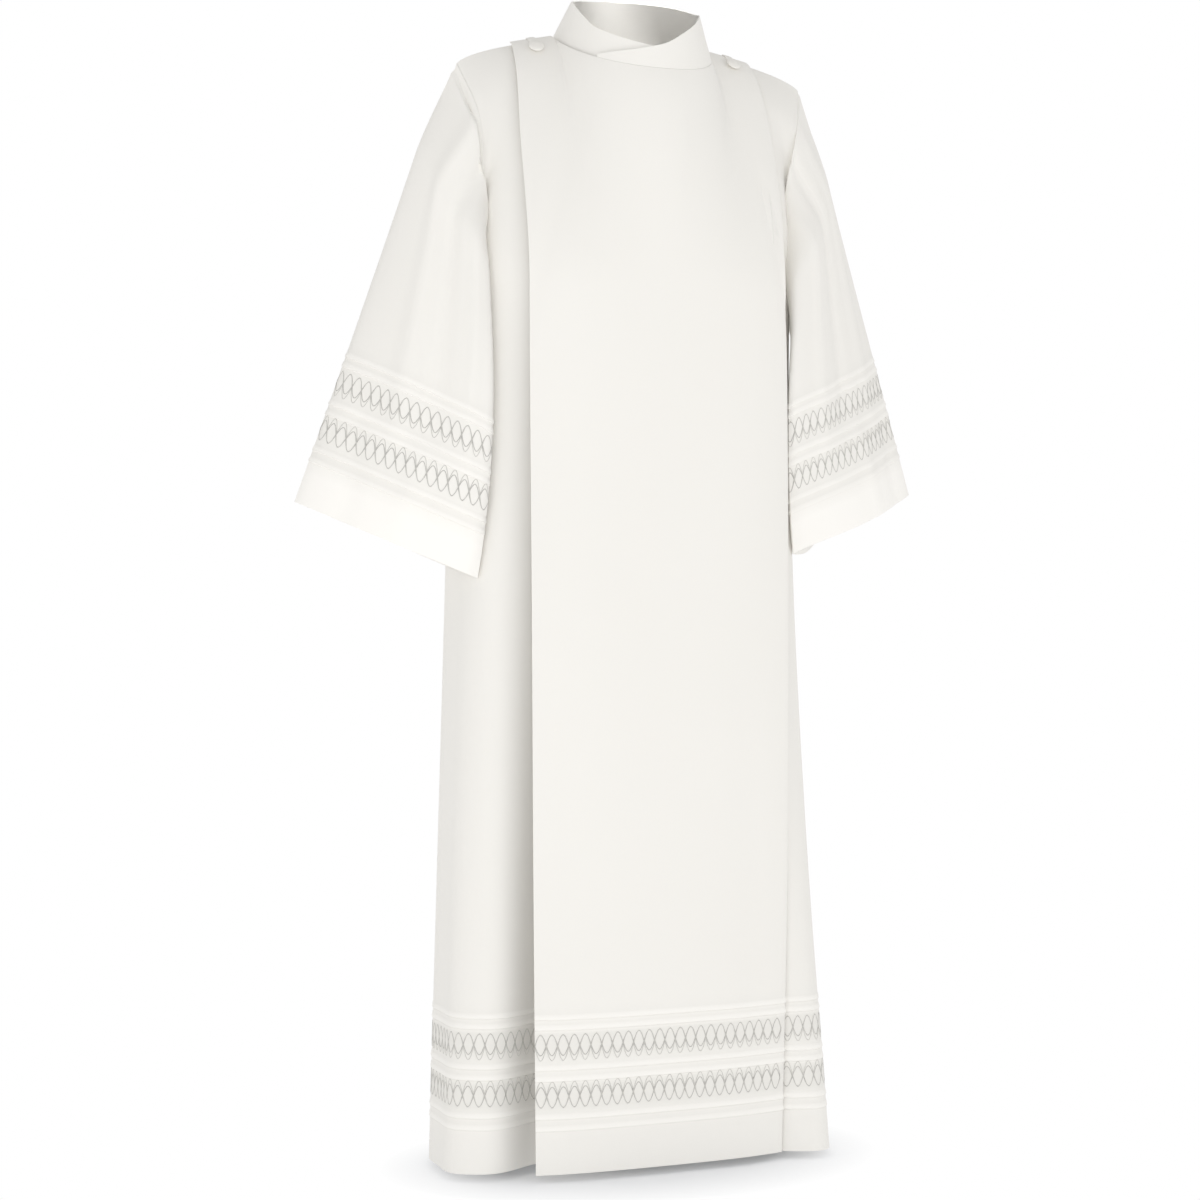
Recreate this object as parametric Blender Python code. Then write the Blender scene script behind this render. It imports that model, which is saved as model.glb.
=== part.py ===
"""Alb robe: a wrap-front vestment of smooth cream cloth, worn open-necked with no wearer inside.

Metres, +Z up, front towards -Y, the wearer's left towards +X. The origin lies between the two
neck ends of the shoulder seams. Heights in the tables are measured up from the hem.

Every cloth piece is one wall. Its middle surface is a grid of points worked out from the
sections below; the wall lies half its thickness to each side of it.
"""

import math

import bmesh
import bpy
import numpy as np

# Overall sizes
GARMENT_LENGTH = 1.46
CHEST_HEIGHT = 1.12
SHOULDER_HALF = 0.2445
TIP_HEIGHT_RIGHT = 1.416
TIP_HEIGHT_LEFT = 1.420
SHOULDER_BOW = 0.007
SHOULDER_SKEW = 0.6
CLOTH = 0.0015
SEAM_GAP = 0.0003
MITRE_LEAST = 0.5

# Neckline, an oval seen from above
NECK_HALF = 0.105
NECK_Y = 0.012
NECK_FRONT_Y = -0.095
NECK_BACK_Y = 0.090
NECK_SIDE_HEIGHT = 1.462
NECK_FRONT_HEIGHT = 1.410
NECK_BACK_HEIGHT = 1.475
NECK_RISE_POWER = 1.1
NECK_TILT_SIDE = 0.85
NECK_TILT_MIDDLE = 0.20
NECK_SHARE = 0.64
NECK_SOFTNESS = 0.07

# Columns and rows of the grids
NECK_STEPS = 8
PANEL_SIDE_STEPS = 4
PLEAT_TURN_STEPS = 5
PLEAT_COLUMNS = 2 * PLEAT_TURN_STEPS + 1
STRIP_STEPS = 10
UNDER_SIDE_STEPS = 5
BACK_SIDE_STEPS = 6
COLLAR_ROWS = 4
SKIRT_ROW_HEIGHTS = (0.30, 0.42, 0.56, 0.70, 0.84, 0.96, 1.06)
UPPER_ROWS = 11
SLEEVE_ROWS = 8
SLEEVE_ROWS_TOP = 0.92
SLEEVE_LAST_ROWS = (0.97, 1.0)
PLAIN_BAND_ROWS = (0, 1, 5, 9)
SECTION_SAMPLES = 121
PLACE_SAMPLES = 241
RING_SAMPLES = 61

# Body sections, straight across at each height
FRONT_POWER = 3.0
BACK_POWER = 2.1
SECTIONS = (
    "height side_x side_y front_y back_y",
    (0.00, 0.267, 0.030, -0.100, 0.170),
    (0.36, 0.256, 0.032, -0.111, 0.166),
    (0.73, 0.245, 0.033, -0.116, 0.160),
    (1.12, 0.236, 0.030, -0.113, 0.150),
)

# Armhole edge from the armpit (share 0) up to the shoulder tip (share 1)
ARMHOLE = (
    "share x front_y back_y height",
    (0.00, 0.2360, 0.030, 0.030, 1.120),
    (0.22, 0.2265, -0.010, 0.076, 1.152),
    (0.50, 0.2190, -0.031, 0.094, 1.240),
    (0.78, 0.2265, -0.034, 0.068, 1.345),
    (1.00, 0.2445, 0.000, 0.000, 1.414),
)
ARMHOLE_REACH = 0.60
CHEST_RISE = 0.31
SHOULDER_TURN = 0.15
SHOULDER_LEAN = 20.0
NECK_TURN = 0.20
NECK_LEAN = 72.0
NECK_LEAN_SHARES = (0.54, 0.90)
SEAM_SOFTNESS = 0.15

# Outer front panel: half width, and the spacing of the layers of its knife pleat
PANEL = (
    "height half_width layer",
    (0.00, 0.1704, 0.0040),
    (0.36, 0.1752, 0.0038),
    (0.73, 0.1770, 0.0034),
    (1.12, 0.1778, 0.0028),
    (1.30, 0.1775, 0.0026),
    (1.45, 0.1686, 0.0024),
)
PLEAT_DEPTH = 0.034

# The back's shoulder edge rises on the left to meet the folded panel
BACK_LIFT_PLACES = (0.05, 0.35)
BACK_LIFT_ROWS = (1.8, 2.0)

# How far the under front falls back behind the free edge of the panel
UNDER_FALL = (
    "height depth",
    (0.00, 0.052),
    (0.36, 0.043),
    (0.73, 0.030),
    (1.07, 0.016),
    (1.22, 0.009),
    (1.37, 0.003),
    (1.45, 0.000),
)
UNDER_RIDGE_X = 0.234
UNDER_VALLEY_X = 0.156
UNDER_FLAT_X = 0.030
UNDER_KEPT = 0.35
UNDER_END_STEP = 5

# Soft folds: place is the share of the half section from the side seam to the centre, and the last
# four columns are how far the fold stands out at the hem, the knee, the waist and the chest
FOLD_HEIGHTS = (0.0, 0.36, 0.73, 1.12, 1.38)
FOLDS = (
    "piece side place width hem knee waist chest",
    ("front", -1, 0.20, 0.080, 0.012, 0.008, 0.003, 0.000),
    ("front", 1, 0.355, 0.100, 0.038, 0.004, -0.017, -0.026),
    ("front", 1, 0.160, 0.110, 0.000, -0.010, -0.018, -0.012),
    ("back", -1, 0.30, 0.090, 0.016, 0.008, 0.002, 0.000),
    ("back", -1, 0.72, 0.080, 0.012, 0.008, 0.003, 0.000),
    ("back", 1, 0.34, 0.085, 0.018, 0.009, 0.002, 0.000),
    ("back", 1, 0.80, 0.085, 0.010, 0.007, 0.002, 0.000),
)
PLEAT_CLEAR = 0.012
PLEAT_EDGE = 0.004

# Tucks, measured up from a hem or cuff edge, each a raised line of folded cloth
TUCKS = (0.060, 0.075, 0.123, 0.137, 0.188, 0.201)
TUCK_RISE = 0.0009
TUCK_DROP = 0.0012
TUCK_BAND_TOP = 0.215

# Sleeve edges: start at the armhole, middle, end at the cuff
SLEEVE_EDGES = (
    "side edge x0 y0 h0 x1 y1 h1 x2 y2 h2",
    (-1, "outer", 0.262, 0.002, 1.404, 0.3515, 0.026, 1.129, 0.445, 0.050, 0.851),
    (-1, "front", 0.228, -0.046, 1.240, 0.2225, -0.076, 0.985, 0.236, -0.054, 0.754),
    (-1, "under", 0.240, 0.030, 1.118, 0.264, 0.010, 0.950, 0.250, -0.030, 0.762),
    (1, "outer", 0.258, 0.002, 1.408, 0.3500, 0.026, 1.140, 0.445, 0.050, 0.876),
    (1, "front", 0.226, -0.046, 1.240, 0.2040, -0.072, 0.990, 0.218, -0.048, 0.789),
    (1, "under", 0.240, 0.030, 1.118, 0.262, 0.006, 0.960, 0.243, -0.026, 0.790),
)
SLEEVE_FACING = (0.38, -0.92, 0.0)
SLEEVE_FRONT_SWELL = 0.024
SLEEVE_BACK_SWELL = 0.040
SLEEVE_FRONT_SHARE = 7 / 22
SLEEVE_EASE = 0.20
SLEEVE_LEAVE = 0.016
SLEEVE_LEAVE_RISE = 0.02
SLEEVE_LEAVE_FADE = 0.22
SLEEVE_LEAVE_TURN = (0.04, 0.22)
SLEEVE_SET_BACK = 0.0013
SLEEVE_CLEAR = 0.0025
SLEEVE_CLEAR_BLUR = 0.013
SLEEVE_CLEAR_FROM = 0.06
SLEEVE_CLEAR_REACH = (0.010, 0.030)

# The part of the body that the sleeves keep clear of
NEAR_FROM = 0.68
NEAR_STEP = 0.015
NEAR_TO_ROW = 1.3
NEAR_UPPER_ROWS = 9
NEAR_SIDE_STEPS = 12

# Collar band: angles are turned from the centre front towards the end's own side
COLLAR_RING = 0.085
COLLAR_RING_X = -0.006
COLLAR_RING_Y = -0.0085
COLLAR_RING_HEIGHT = 1.50
COLLAR_END_STEPS = 4
COLLAR_LIFT_TURNS = (95, 175)
COLLAR_TOP = (
    "turn over under",
    (-45.0, 1.429, 1.424),
    (-10.0, 1.437, 1.434),
    (5.0, 1.4445, 1.440),
    (21.0, 1.460, 1.446),
    (38.0, 1.476, 1.456),
    (52.0, 1.489, 1.467),
    (67.0, 1.498, 1.486),
    (82.0, 1.504, 1.501),
    (116.0, 1.521, 1.516),
    (140.0, 1.528, 1.524),
    (180.0, 1.531, 1.531),
)

# Buttons and the cloth tabs that reach over the shoulder to them
BUTTON_X = 0.141
BUTTON_ROW = 1.88
BUTTON_RADIUS = 0.0100
BUTTON_DEPTH = 0.0045
BUTTON_SEAT = 0.0026
BUTTON_SIDES = 20
BUTTON_PROFILE = (
    "radius depth",
    (0.00, 1.00),
    (0.45, 0.96),
    (0.78, 0.80),
    (0.95, 0.52),
    (1.00, 0.30),
    (0.93, 0.04),
    (0.00, 0.00),
)
TAB_HALF = 0.0055
TAB_CLOTH = 0.0012
TAB_BACK_ROWS = (1.93, 1.955, 1.98)
TAB_FRONT_ROWS = (2.0, 1.985, 1.965, 1.94, 1.909, 1.875)

# Colours and roughness
CLOTH_COLOUR = (0.88, 0.855, 0.805, 1.0)
CLOTH_ROUGHNESS = 0.85
BUTTON_COLOUR = (0.86, 0.835, 0.785, 1.0)
BUTTON_ROUGHNESS = 0.75


def column(table, name):
    """One named column of a table, as numbers."""
    place = table[0].split().index(name)
    return np.array([row[place] for row in table[1:]], float)


def smooth(keys, values, at):
    """A smooth curve through the values, read at one or more keys."""
    at = np.clip(np.asarray(at, float), keys[0], keys[-1])
    slopes = np.gradient(values, keys, axis=0)
    left = np.clip(np.searchsorted(keys, at, side="right") - 1, 0, len(keys) - 2)
    span = keys[left + 1] - keys[left]
    t = (at - keys[left]) / span
    if values.ndim > 1:
        t, span = t[..., None], span[..., None]
    rise = t * t * (3 - 2 * t)
    start = t * (1 - t) ** 2 * span
    end = t * t * (1 - t) * span
    return values[left] * (1 - rise) + values[left + 1] * rise + slopes[left] * start - slopes[left + 1] * end


def read(table, name, at):
    """A table's named column, read smoothly along its first column."""
    return smooth(column(table, table[0].split()[0]), column(table, name), at)


def ease(x, low, high):
    """0 below low, 1 above high, and smooth between."""
    t = np.clip((np.asarray(x, float) - low) / (high - low), 0, 1)
    return t * t * (3 - 2 * t)


def unit(vectors):
    return vectors / np.linalg.norm(vectors, axis=-1, keepdims=True)


def along(points, shares):
    """Points at these shares of the length of an open line."""
    steps = np.linalg.norm(np.diff(points, axis=0), axis=1)
    length = np.concatenate([[0.0], np.cumsum(steps)])
    return np.stack([np.interp(np.asarray(shares) * length[-1], length, points[:, k]) for k in range(3)], -1)


def half_section(height, back, share):
    """The body's section on the +X side; share 0 is the side seam and 1 the centre."""
    turn = np.linspace(0, math.pi / 2, SECTION_SAMPLES)
    power = 2 / (BACK_POWER if back else FRONT_POWER)
    side_y = read(SECTIONS, "side_y", height)
    end_y = read(SECTIONS, "back_y" if back else "front_y", height)
    line = np.stack([
        read(SECTIONS, "side_x", height) * np.cos(turn) ** power,
        side_y + (end_y - side_y) * np.sin(turn) ** power,
        np.full_like(turn, height),
    ], -1)
    line[-1, 0] = 0.0
    return along(line, share)


def neckline(turn, back):
    """The neckline on the +X side; turn runs from 0 at the shoulder seam to 90 degrees at the centre."""
    depth = np.sin(np.radians(turn))
    end_y = NECK_BACK_Y if back else NECK_FRONT_Y
    if back:
        height = NECK_SIDE_HEIGHT + (NECK_BACK_HEIGHT - NECK_SIDE_HEIGHT) * depth
    else:
        height = NECK_FRONT_HEIGHT + (NECK_SIDE_HEIGHT - NECK_FRONT_HEIGHT) * (1 - depth) ** NECK_RISE_POWER
    return np.stack([NECK_HALF * np.cos(np.radians(turn)), NECK_Y + (end_y - NECK_Y) * depth, height], -1)


def top_edge(share, back, tip_height):
    """Shoulder seam, then neckline, on the +X side."""
    t = np.clip(share / NECK_SHARE, 0, 1)[:, None]
    tip = np.array([SHOULDER_HALF, 0.0, tip_height])
    shoulder = tip + (neckline(0.0, back) - tip) * t
    shoulder[:, 2] += SHOULDER_BOW * np.sin(math.pi * t[:, 0] ** SHOULDER_SKEW)
    neck = neckline(90 * np.clip((share - NECK_SHARE) / (1 - NECK_SHARE), 0, 1), back)
    return np.where(share[:, None] < NECK_SHARE, shoulder, neck)


def bend(start, leave, end, arrive, t):
    """A cubic from start to end with the two end directions given."""
    rise = t * t * (3 - 2 * t)
    return start * (1 - rise) + end * rise + leave * (t * (1 - t) ** 2) - arrive * (t * t * (1 - t))


def armhole_edge(t, back, tip_height):
    line = smooth(
        column(ARMHOLE, "share"),
        np.stack([column(ARMHOLE, name) for name in ("x", "back_y" if back else "front_y", "height")], -1),
        t,
    )
    line[..., 2] += (tip_height - ARMHOLE[-1][-1]) * t
    return line


def half_body(share, row, back, tip_height):
    """The +X half of the body; row 0 is the hem, 1 the chest and 2 the shoulder and neckline."""
    if row <= 1:
        return half_section(row * CHEST_HEIGHT, back, share)
    t = row - 1
    away = -1 if back else 1
    neckward = ease(share, *NECK_LEAN_SHARES)
    lean = np.radians(SHOULDER_LEAN + (NECK_LEAN - SHOULDER_LEAN) * neckward)
    turn = SHOULDER_TURN + (NECK_TURN - SHOULDER_TURN) * neckward
    arrive = np.stack([np.zeros_like(share), away * np.cos(lean) * turn, np.sin(lean) * turn], -1)
    leave = np.array([0.0, 0.0, CHEST_RISE])
    start = half_section(CHEST_HEIGHT, back, share)
    exact = top_edge(share, back, tip_height)
    spread = [top_edge(np.abs(share + by), back, tip_height) for by in NECK_SOFTNESS * np.linspace(-1, 1, 5)]
    middle = share > 1 - NECK_SOFTNESS
    soft = np.where(middle[:, None], exact, np.mean(spread, axis=0))
    blend = ease(share, 0.0, SEAM_SOFTNESS)[:, None] * (1 - t**3)
    points = bend(start, leave, exact + (soft - exact) * blend, arrive, t)
    tip_lean = math.radians(SHOULDER_LEAN)
    tip_arrive = np.array([0.0, away * math.cos(tip_lean), math.sin(tip_lean)]) * SHOULDER_TURN
    armpit = half_section(CHEST_HEIGHT, back, np.zeros(1))[0]
    side = bend(armpit, leave, np.array([SHOULDER_HALF, 0.0, tip_height]), tip_arrive, t)
    pull = np.clip(1 - share / ARMHOLE_REACH, 0, 1) ** 2
    return points + pull[:, None] * (armhole_edge(np.array(t), back, tip_height) - side)


def body(place, row, back):
    """The whole front or back; place runs from -1 at the right side seam to 1 at the left one."""
    place = np.asarray(place, float)
    points = np.empty(place.shape + (3,))
    for side, tip_height in ((-1, TIP_HEIGHT_RIGHT), (1, TIP_HEIGHT_LEFT)):
        here = place * side >= 0 if side > 0 else place < 0
        if here.any():
            half = half_body(1 - np.abs(place[here]), row, back, tip_height)
            half[:, 0] *= side
            points[here] = half
    return points


def body_across(place, row, back, step=0.004):
    """Directions along the body towards the wearer's left."""
    low, high = np.clip(place - step, -1, 1), np.clip(place + step, -1, 1)
    return unit(body(high, row, back) - body(low, row, back))


def body_normals(place, row, back, step=0.004):
    """Outward directions; on the top edge they are shared with the piece sewn on there."""
    place = np.asarray(place, float)
    up = body(place, min(row + step, 2.0), back) - body(place, max(row - step, 0.0), back)
    normals = unit(np.cross(body_across(place, row, back), up)) * (-1 if back else 1)
    if row >= 2:
        share = 1 - np.abs(place)
        slope = (NECK_SIDE_HEIGHT - TIP_HEIGHT_LEFT) / (SHOULDER_HALF - NECK_HALF)
        shoulder = unit(np.stack([np.sign(place) * slope, np.zeros_like(place), np.ones_like(place)], -1))
        turn = np.radians(90 * np.clip((share - NECK_SHARE) / (1 - NECK_SHARE), 0, 1))
        normals = np.where(share[:, None] < NECK_SHARE, shoulder, neck_direction(turn, np.sign(place), back))
    return normals


def neck_direction(turn, side, back):
    """Away from the neck at the neckline, leaning up most at the shoulder seam."""
    out = np.stack([side * np.cos(turn), (1 if back else -1) * np.sin(turn), 0 * turn], -1)
    tilt = NECK_TILT_SIDE + (NECK_TILT_MIDDLE - NECK_TILT_SIDE) * np.sin(turn)
    return unit(out + np.array([0, 0, 1.0]) * tilt[..., None])


def fold_depth(piece, place, height):
    """How far the soft folds of a piece stand out from its section."""
    total = np.zeros_like(height)
    for name, side, centre, width, *depths in FOLDS[1:]:
        if name == piece:
            share = 1 - np.abs(place)
            here = np.exp(-(((share - centre) / width) ** 2)) * (place * side > 0)
            total += here * smooth(np.array(FOLD_HEIGHTS), np.array(depths + [0.0]), height)
    return total


def neck_shares():
    """Shares of the half section that end on evenly turned points of the neckline."""
    return NECK_SHARE + (1 - NECK_SHARE) * np.arange(NECK_STEPS + 1) / NECK_STEPS


def front_row(row):
    """Half the panel's width on this row, its layer spacing, and the place across the front of any x."""
    height = min(row, 1.0) * CHEST_HEIGHT + max(row - 1, 0.0) * (PANEL[-1][0] - CHEST_HEIGHT)
    half = float(read(PANEL, "half_width", height))
    layer = float(read(PANEL, "layer", height))
    places = np.linspace(-1, 1, PLACE_SAMPLES)
    known = body(places, row, False)[:, 0]
    return half, layer, lambda x: np.interp(x, known, places)


def panel_columns():
    """Columns of the flat panel, before those of its pleat."""
    return 2 * (PANEL_SIDE_STEPS + NECK_STEPS)


def inside_pleat():
    """The hidden column half way into the pleat, where the left front is parted."""
    return panel_columns() + PLEAT_TURN_STEPS


def outer_front(rows, strip_count):
    """Panel, knife pleat and left side strip, as one grid from the free edge to the left side seam."""
    grid, normals = [], []
    turn = np.linspace(0, math.pi, PLEAT_TURN_STEPS)
    flat = np.ones(panel_columns())
    faces_out = np.concatenate([flat, np.cos(turn), [-1], -np.cos(turn), [1]])
    faces_left = np.concatenate([0 * flat, np.sin(turn), [0], np.sin(turn), [0]])
    for row in rows:
        half, layer, place_of = front_row(row)
        radius = layer / 2
        inner = half - PLEAT_DEPTH
        neck = NECK_HALF * np.cos(math.pi / 2 * np.arange(NECK_STEPS + 1) / NECK_STEPS)
        side_x = np.linspace(half, NECK_HALF, PANEL_SIDE_STEPS + 1)
        x = np.concatenate([
            -side_x[:-1],
            -neck[:-1],
            neck[::-1],
            side_x[::-1][1:-1],
            half + radius * np.sin(turn),
            [half - PLEAT_DEPTH / 2],
            inner - radius * np.sin(turn),
            [half + PLEAT_EDGE],
        ])
        offset = np.concatenate([
            flat * 2 * layer,
            3 * radius + radius * np.cos(turn),
            [layer],
            radius + radius * np.cos(turn),
            [0],
        ])
        place = place_of(x)
        strip = np.linspace(place[-1], 1, strip_count)[1:]
        place = np.concatenate([place, strip])
        points = body(place, row, False)
        out = body_normals(place, row, False)
        left = body_across(place, row, False)
        bulge = fold_depth("front", place, points[:, 2]) * ease(points[:, 0], half, half + PLEAT_CLEAR)
        bulge[: len(x)] = 0
        offset = np.concatenate([offset, np.zeros(len(strip))]) + bulge
        outward = np.concatenate([faces_out, np.ones(len(strip))])
        leftward = np.concatenate([faces_left, np.zeros(len(strip))])
        grid.append(points + out * offset[:, None])
        normals.append(unit(out * outward[:, None] + left * leftward[:, None]))
    return np.array(grid), np.array(normals)


def grid_normals(grid, closed=False):
    """Directions square to a grid whose rows run up and whose columns run round to the wearer's left."""
    if closed:
        across = np.roll(grid, -1, axis=1) - np.roll(grid, 1, axis=1)
    else:
        across = np.gradient(grid, axis=1)
    up = np.gradient(grid, axis=0)
    return unit(np.cross(across, up))


def under_front(rows, side_count):
    """Wearer's right front, from the right side seam to its end behind the panel."""
    shares = neck_shares()
    place = np.concatenate([
        np.linspace(-1, -(1 - NECK_SHARE), side_count)[:-1],
        shares[:-1] - 1,
        (1 - shares)[::-1][: UNDER_END_STEP + 1],
    ])
    grid, normals = [], []
    for row in rows:
        points = body(place, row, False)
        out = body_normals(place, row, False)
        height = points[:, 2]
        x = points[:, 0]
        fall = ease(x, -UNDER_RIDGE_X, -UNDER_VALLEY_X)
        fall = fall * (1 - (1 - UNDER_KEPT) * ease(x, -UNDER_VALLEY_X, -UNDER_FLAT_X))
        offset = fold_depth("front", place, height) - fall * read(UNDER_FALL, "depth", height)
        grid.append(points + out * offset[:, None])
        normals.append(out)
    return np.array(grid), np.array(normals)


def back_body(rows, side_count):
    """Whole back, from the left side seam round to the right one."""
    shares = neck_shares()
    side = np.linspace(1, 1 - NECK_SHARE, side_count)[:-1]
    place = np.concatenate([side, (1 - shares)[:-1], (shares - 1)[::-1], -side[::-1]])
    grid, normals = [], []
    for row in rows:
        points = body(place, row, True)
        out = body_normals(place, row, True)
        half, layer, _ = front_row(row)
        lift = 2 * layer * (1 - ease(points[:, 0], half - PLEAT_DEPTH, half)) * ease(place, *BACK_LIFT_PLACES)
        offset = fold_depth("back", place, points[:, 2]) + lift * ease(row, *BACK_LIFT_ROWS)
        grid.append(points + out * offset[:, None])
        normals.append(out)
    return np.array(grid), np.array(normals)


def sleeve_edge(side, name, t):
    row = next(row for row in SLEEVE_EDGES[1:] if row[:2] == (side, name))
    start, middle, end = (np.array(row[k : k + 3]) for k in (2, 5, 8))
    control = 2 * middle - (start + end) / 2
    return start * (1 - t) ** 2 + 2 * control * t * (1 - t) + end * t * t


def closed_curve(knots, counts):
    """A smooth loop through five knots, as evenly spaced points from knot 0 to 2, 2 to 3 and 3 to 0."""
    loop = np.concatenate([knots[-2:], knots, knots[:3]])
    steps = np.linalg.norm(np.diff(loop, axis=0), axis=1) ** 0.5
    keys = np.concatenate([[0.0], np.cumsum(steps)])
    points = []
    for first, last, count in zip((2, 4, 5), (4, 5, 7), counts):
        line = smooth(keys, loop, np.linspace(keys[first], keys[last], RING_SAMPLES))
        points.append(along(line, np.linspace(0, 1, count + 1))[:-1])
    return np.concatenate(points)


def sleeve_ring(side, t, count):
    """One ring of a sleeve, on the +X side; t is 0 at the armhole and 1 at the cuff."""
    outer, front, under = (sleeve_edge(side, name, t) for name in ("outer", "front", "under"))
    forward = unit(np.array(SLEEVE_FACING))
    front_middle = (outer + front) / 2 + forward * SLEEVE_FRONT_SWELL
    back_middle = (outer + under) / 2 - forward * SLEEVE_BACK_SWELL
    to_front = round(count * SLEEVE_FRONT_SHARE)
    counts = to_front, count // 2 - to_front, count - count // 2
    return closed_curve(np.array([outer, front_middle, front, under, back_middle]), counts)


def keep_clear(points, body_points, body_out, clear):
    """Moves points out until each is its own clear distance away from the body."""
    reach = points[:, None] - body_points[None]
    far = (reach**2).sum(-1)
    weight = np.exp((far.min(1, keepdims=True) - far) / (2 * SLEEVE_CLEAR_BLUR**2))
    weight /= weight.sum(1, keepdims=True)
    out = unit((weight[..., None] * body_out[None]).sum(1))
    away = (weight * (reach * body_out[None]).sum(-1)).sum(1)
    short = clear - away
    push = (short + np.sqrt(short**2 + (clear / 2) ** 2)) / 2
    push *= 1 - ease(np.sqrt(far.min(1)), *SLEEVE_CLEAR_REACH)
    return points + out * push[:, None]


def sleeve(side, armhole, plain_rows, cuff_rows, body_points, body_out):
    """Sleeve grid: rings from the cuff up to the armhole loop, tip first and then down the front."""
    count = len(armhole)
    shares = np.linspace(0, 1, RING_SAMPLES)
    rings = np.array([sleeve_ring(side, t, count) for t in shares]) * np.array([side, 1, 1])
    rest = (1 - ease(shares, 0, SLEEVE_EASE))[:, None, None]
    leave = (1 - np.exp(-shares / SLEEVE_LEAVE_RISE)) * np.exp(-((shares / SLEEVE_LEAVE_FADE) ** 2))
    turn = np.arange(count) / count
    lower = ease(np.minimum(turn, 1 - turn), *SLEEVE_LEAVE_TURN)
    outward = np.array([side, 0, 0]) * SLEEVE_LEAVE * (leave[:, None] * lower[None])[..., None]
    rings = rings + rest * (armhole - rings[0]) + outward
    for k, share in enumerate(shares[1:], 1):
        clear = np.full(count, SLEEVE_CLEAR * float(ease(share, 0, SLEEVE_CLEAR_FROM)))
        rings[k] = keep_clear(rings[k], body_points, body_out, clear)
    rings = rings[::-1]
    columns = []
    for k in range(count):
        line = rings[:, k]
        length = np.linalg.norm(np.diff(line, axis=0), axis=1).sum()
        low = np.array(cuff_rows) / length
        high = low[-1] + (1 - low[-1]) * np.array(plain_rows)
        columns.append(along(line, np.concatenate([low, high])))
    return np.stack(columns, 1)


def collar(rows):
    """Collar band from its end over the front, round the wearer's left and the back, to its end under it."""
    step = 90 / NECK_STEPS
    turns = np.arange(-COLLAR_END_STEPS, 4 * NECK_STEPS + COLLAR_END_STEPS + 1) * step
    layer = front_row(2.0)[1]
    base, out, reach = [], [], []
    for turn in turns:
        side = 1.0 if math.sin(math.radians(turn)) >= 0 else -1.0
        fold = min(turn % 360, 360 - turn % 360)
        oval = abs(90 - fold)
        away = neck_direction(np.array(math.radians(oval)), side, fold > 90)
        lift = 2 * layer * (1 - float(ease(turn, *COLLAR_LIFT_TURNS)))
        foot = neckline(float(oval), fold > 90) * np.array([side, 1, 1]) + away * lift
        flat = np.array([math.sin(math.radians(turn)), -math.cos(math.radians(turn)), 0.0])
        ring = np.array([COLLAR_RING_X, COLLAR_RING_Y, COLLAR_RING_HEIGHT]) + flat * (COLLAR_RING + lift)
        own, end = (turn, "over") if turn <= 180 else (360 - turn, "under")
        top = float(read(COLLAR_TOP, end, own))
        base.append(foot)
        out.append(away)
        reach.append((ring - foot) * (top - foot[2]) / (ring[2] - foot[2]))
    grid = np.array([np.array(base) + np.array(reach) * share for share in np.linspace(0, 1, rows)])
    normals = grid_normals(grid)
    normals[0] = np.array(out)
    return grid, normals


def join_normals(seam):
    """One shared direction where walls meet at a seam, lengthened so that each keeps its thickness."""
    shared = unit(sum(normals[index] for normals, index in seam))
    for normals, index in seam:
        normals[index] = shared / max(float(np.dot(shared, normals[index])), MITRE_LEAST)


def near_body():
    """Points and directions of the body beside the sleeves."""
    rows = np.concatenate([
        np.arange(NEAR_FROM, CHEST_HEIGHT, NEAR_STEP) / CHEST_HEIGHT,
        np.linspace(1, NEAR_TO_ROW, NEAR_UPPER_ROWS),
    ])
    strip, strip_out = outer_front(rows, NEAR_SIDE_STEPS)
    hidden = panel_columns() + PLEAT_COLUMNS
    near = [(strip[:, hidden:], strip_out[:, hidden:])]
    near += [under_front(rows, NEAR_SIDE_STEPS), back_body(rows, NEAR_SIDE_STEPS)]
    return [np.concatenate([pair[k].reshape(-1, 3) for pair in near]) for k in (0, 1)]


def join_sleeve(normals, front, back, chest):
    """Shares directions along the side seam and the armhole; front and back are (directions, edge column)."""
    (front_out, front_edge), (back_out, back_edge) = front, back
    last = len(front_out) - 1
    for row in range(last + 1):
        seam = [(front_out, (row, front_edge)), (back_out, (row, back_edge))]
        if row in (chest, last):
            seam.append((normals, (-1, (last - row) % normals.shape[1])))
        if row <= chest or row == last:
            join_normals(seam)
        else:
            join_normals([seam[0], (normals, (-1, last - row))])
            join_normals([seam[1], (normals, (-1, last - chest + row - chest))])


def pull_in(grid, normals, left=0.0, right=0.0, low=0.0, high=0.0):
    """Moves the edges of a grid in along it, to leave a seam's gap, wider where it is a sharp crease."""
    grid = grid.copy()
    for edge, inner, by in ((0, 1, left), (-1, -2, right)):
        crease = (normals[:, edge] ** 2).sum(-1, keepdims=True)
        grid[:, edge] += unit(grid[:, inner] - grid[:, edge]) * by * crease
    for edge, inner, by in ((0, 1, low), (-1, -2, high)):
        crease = (normals[edge] ** 2).sum(-1, keepdims=True)
        grid[edge] += unit(grid[inner] - grid[edge]) * by * crease
    return grid


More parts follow.
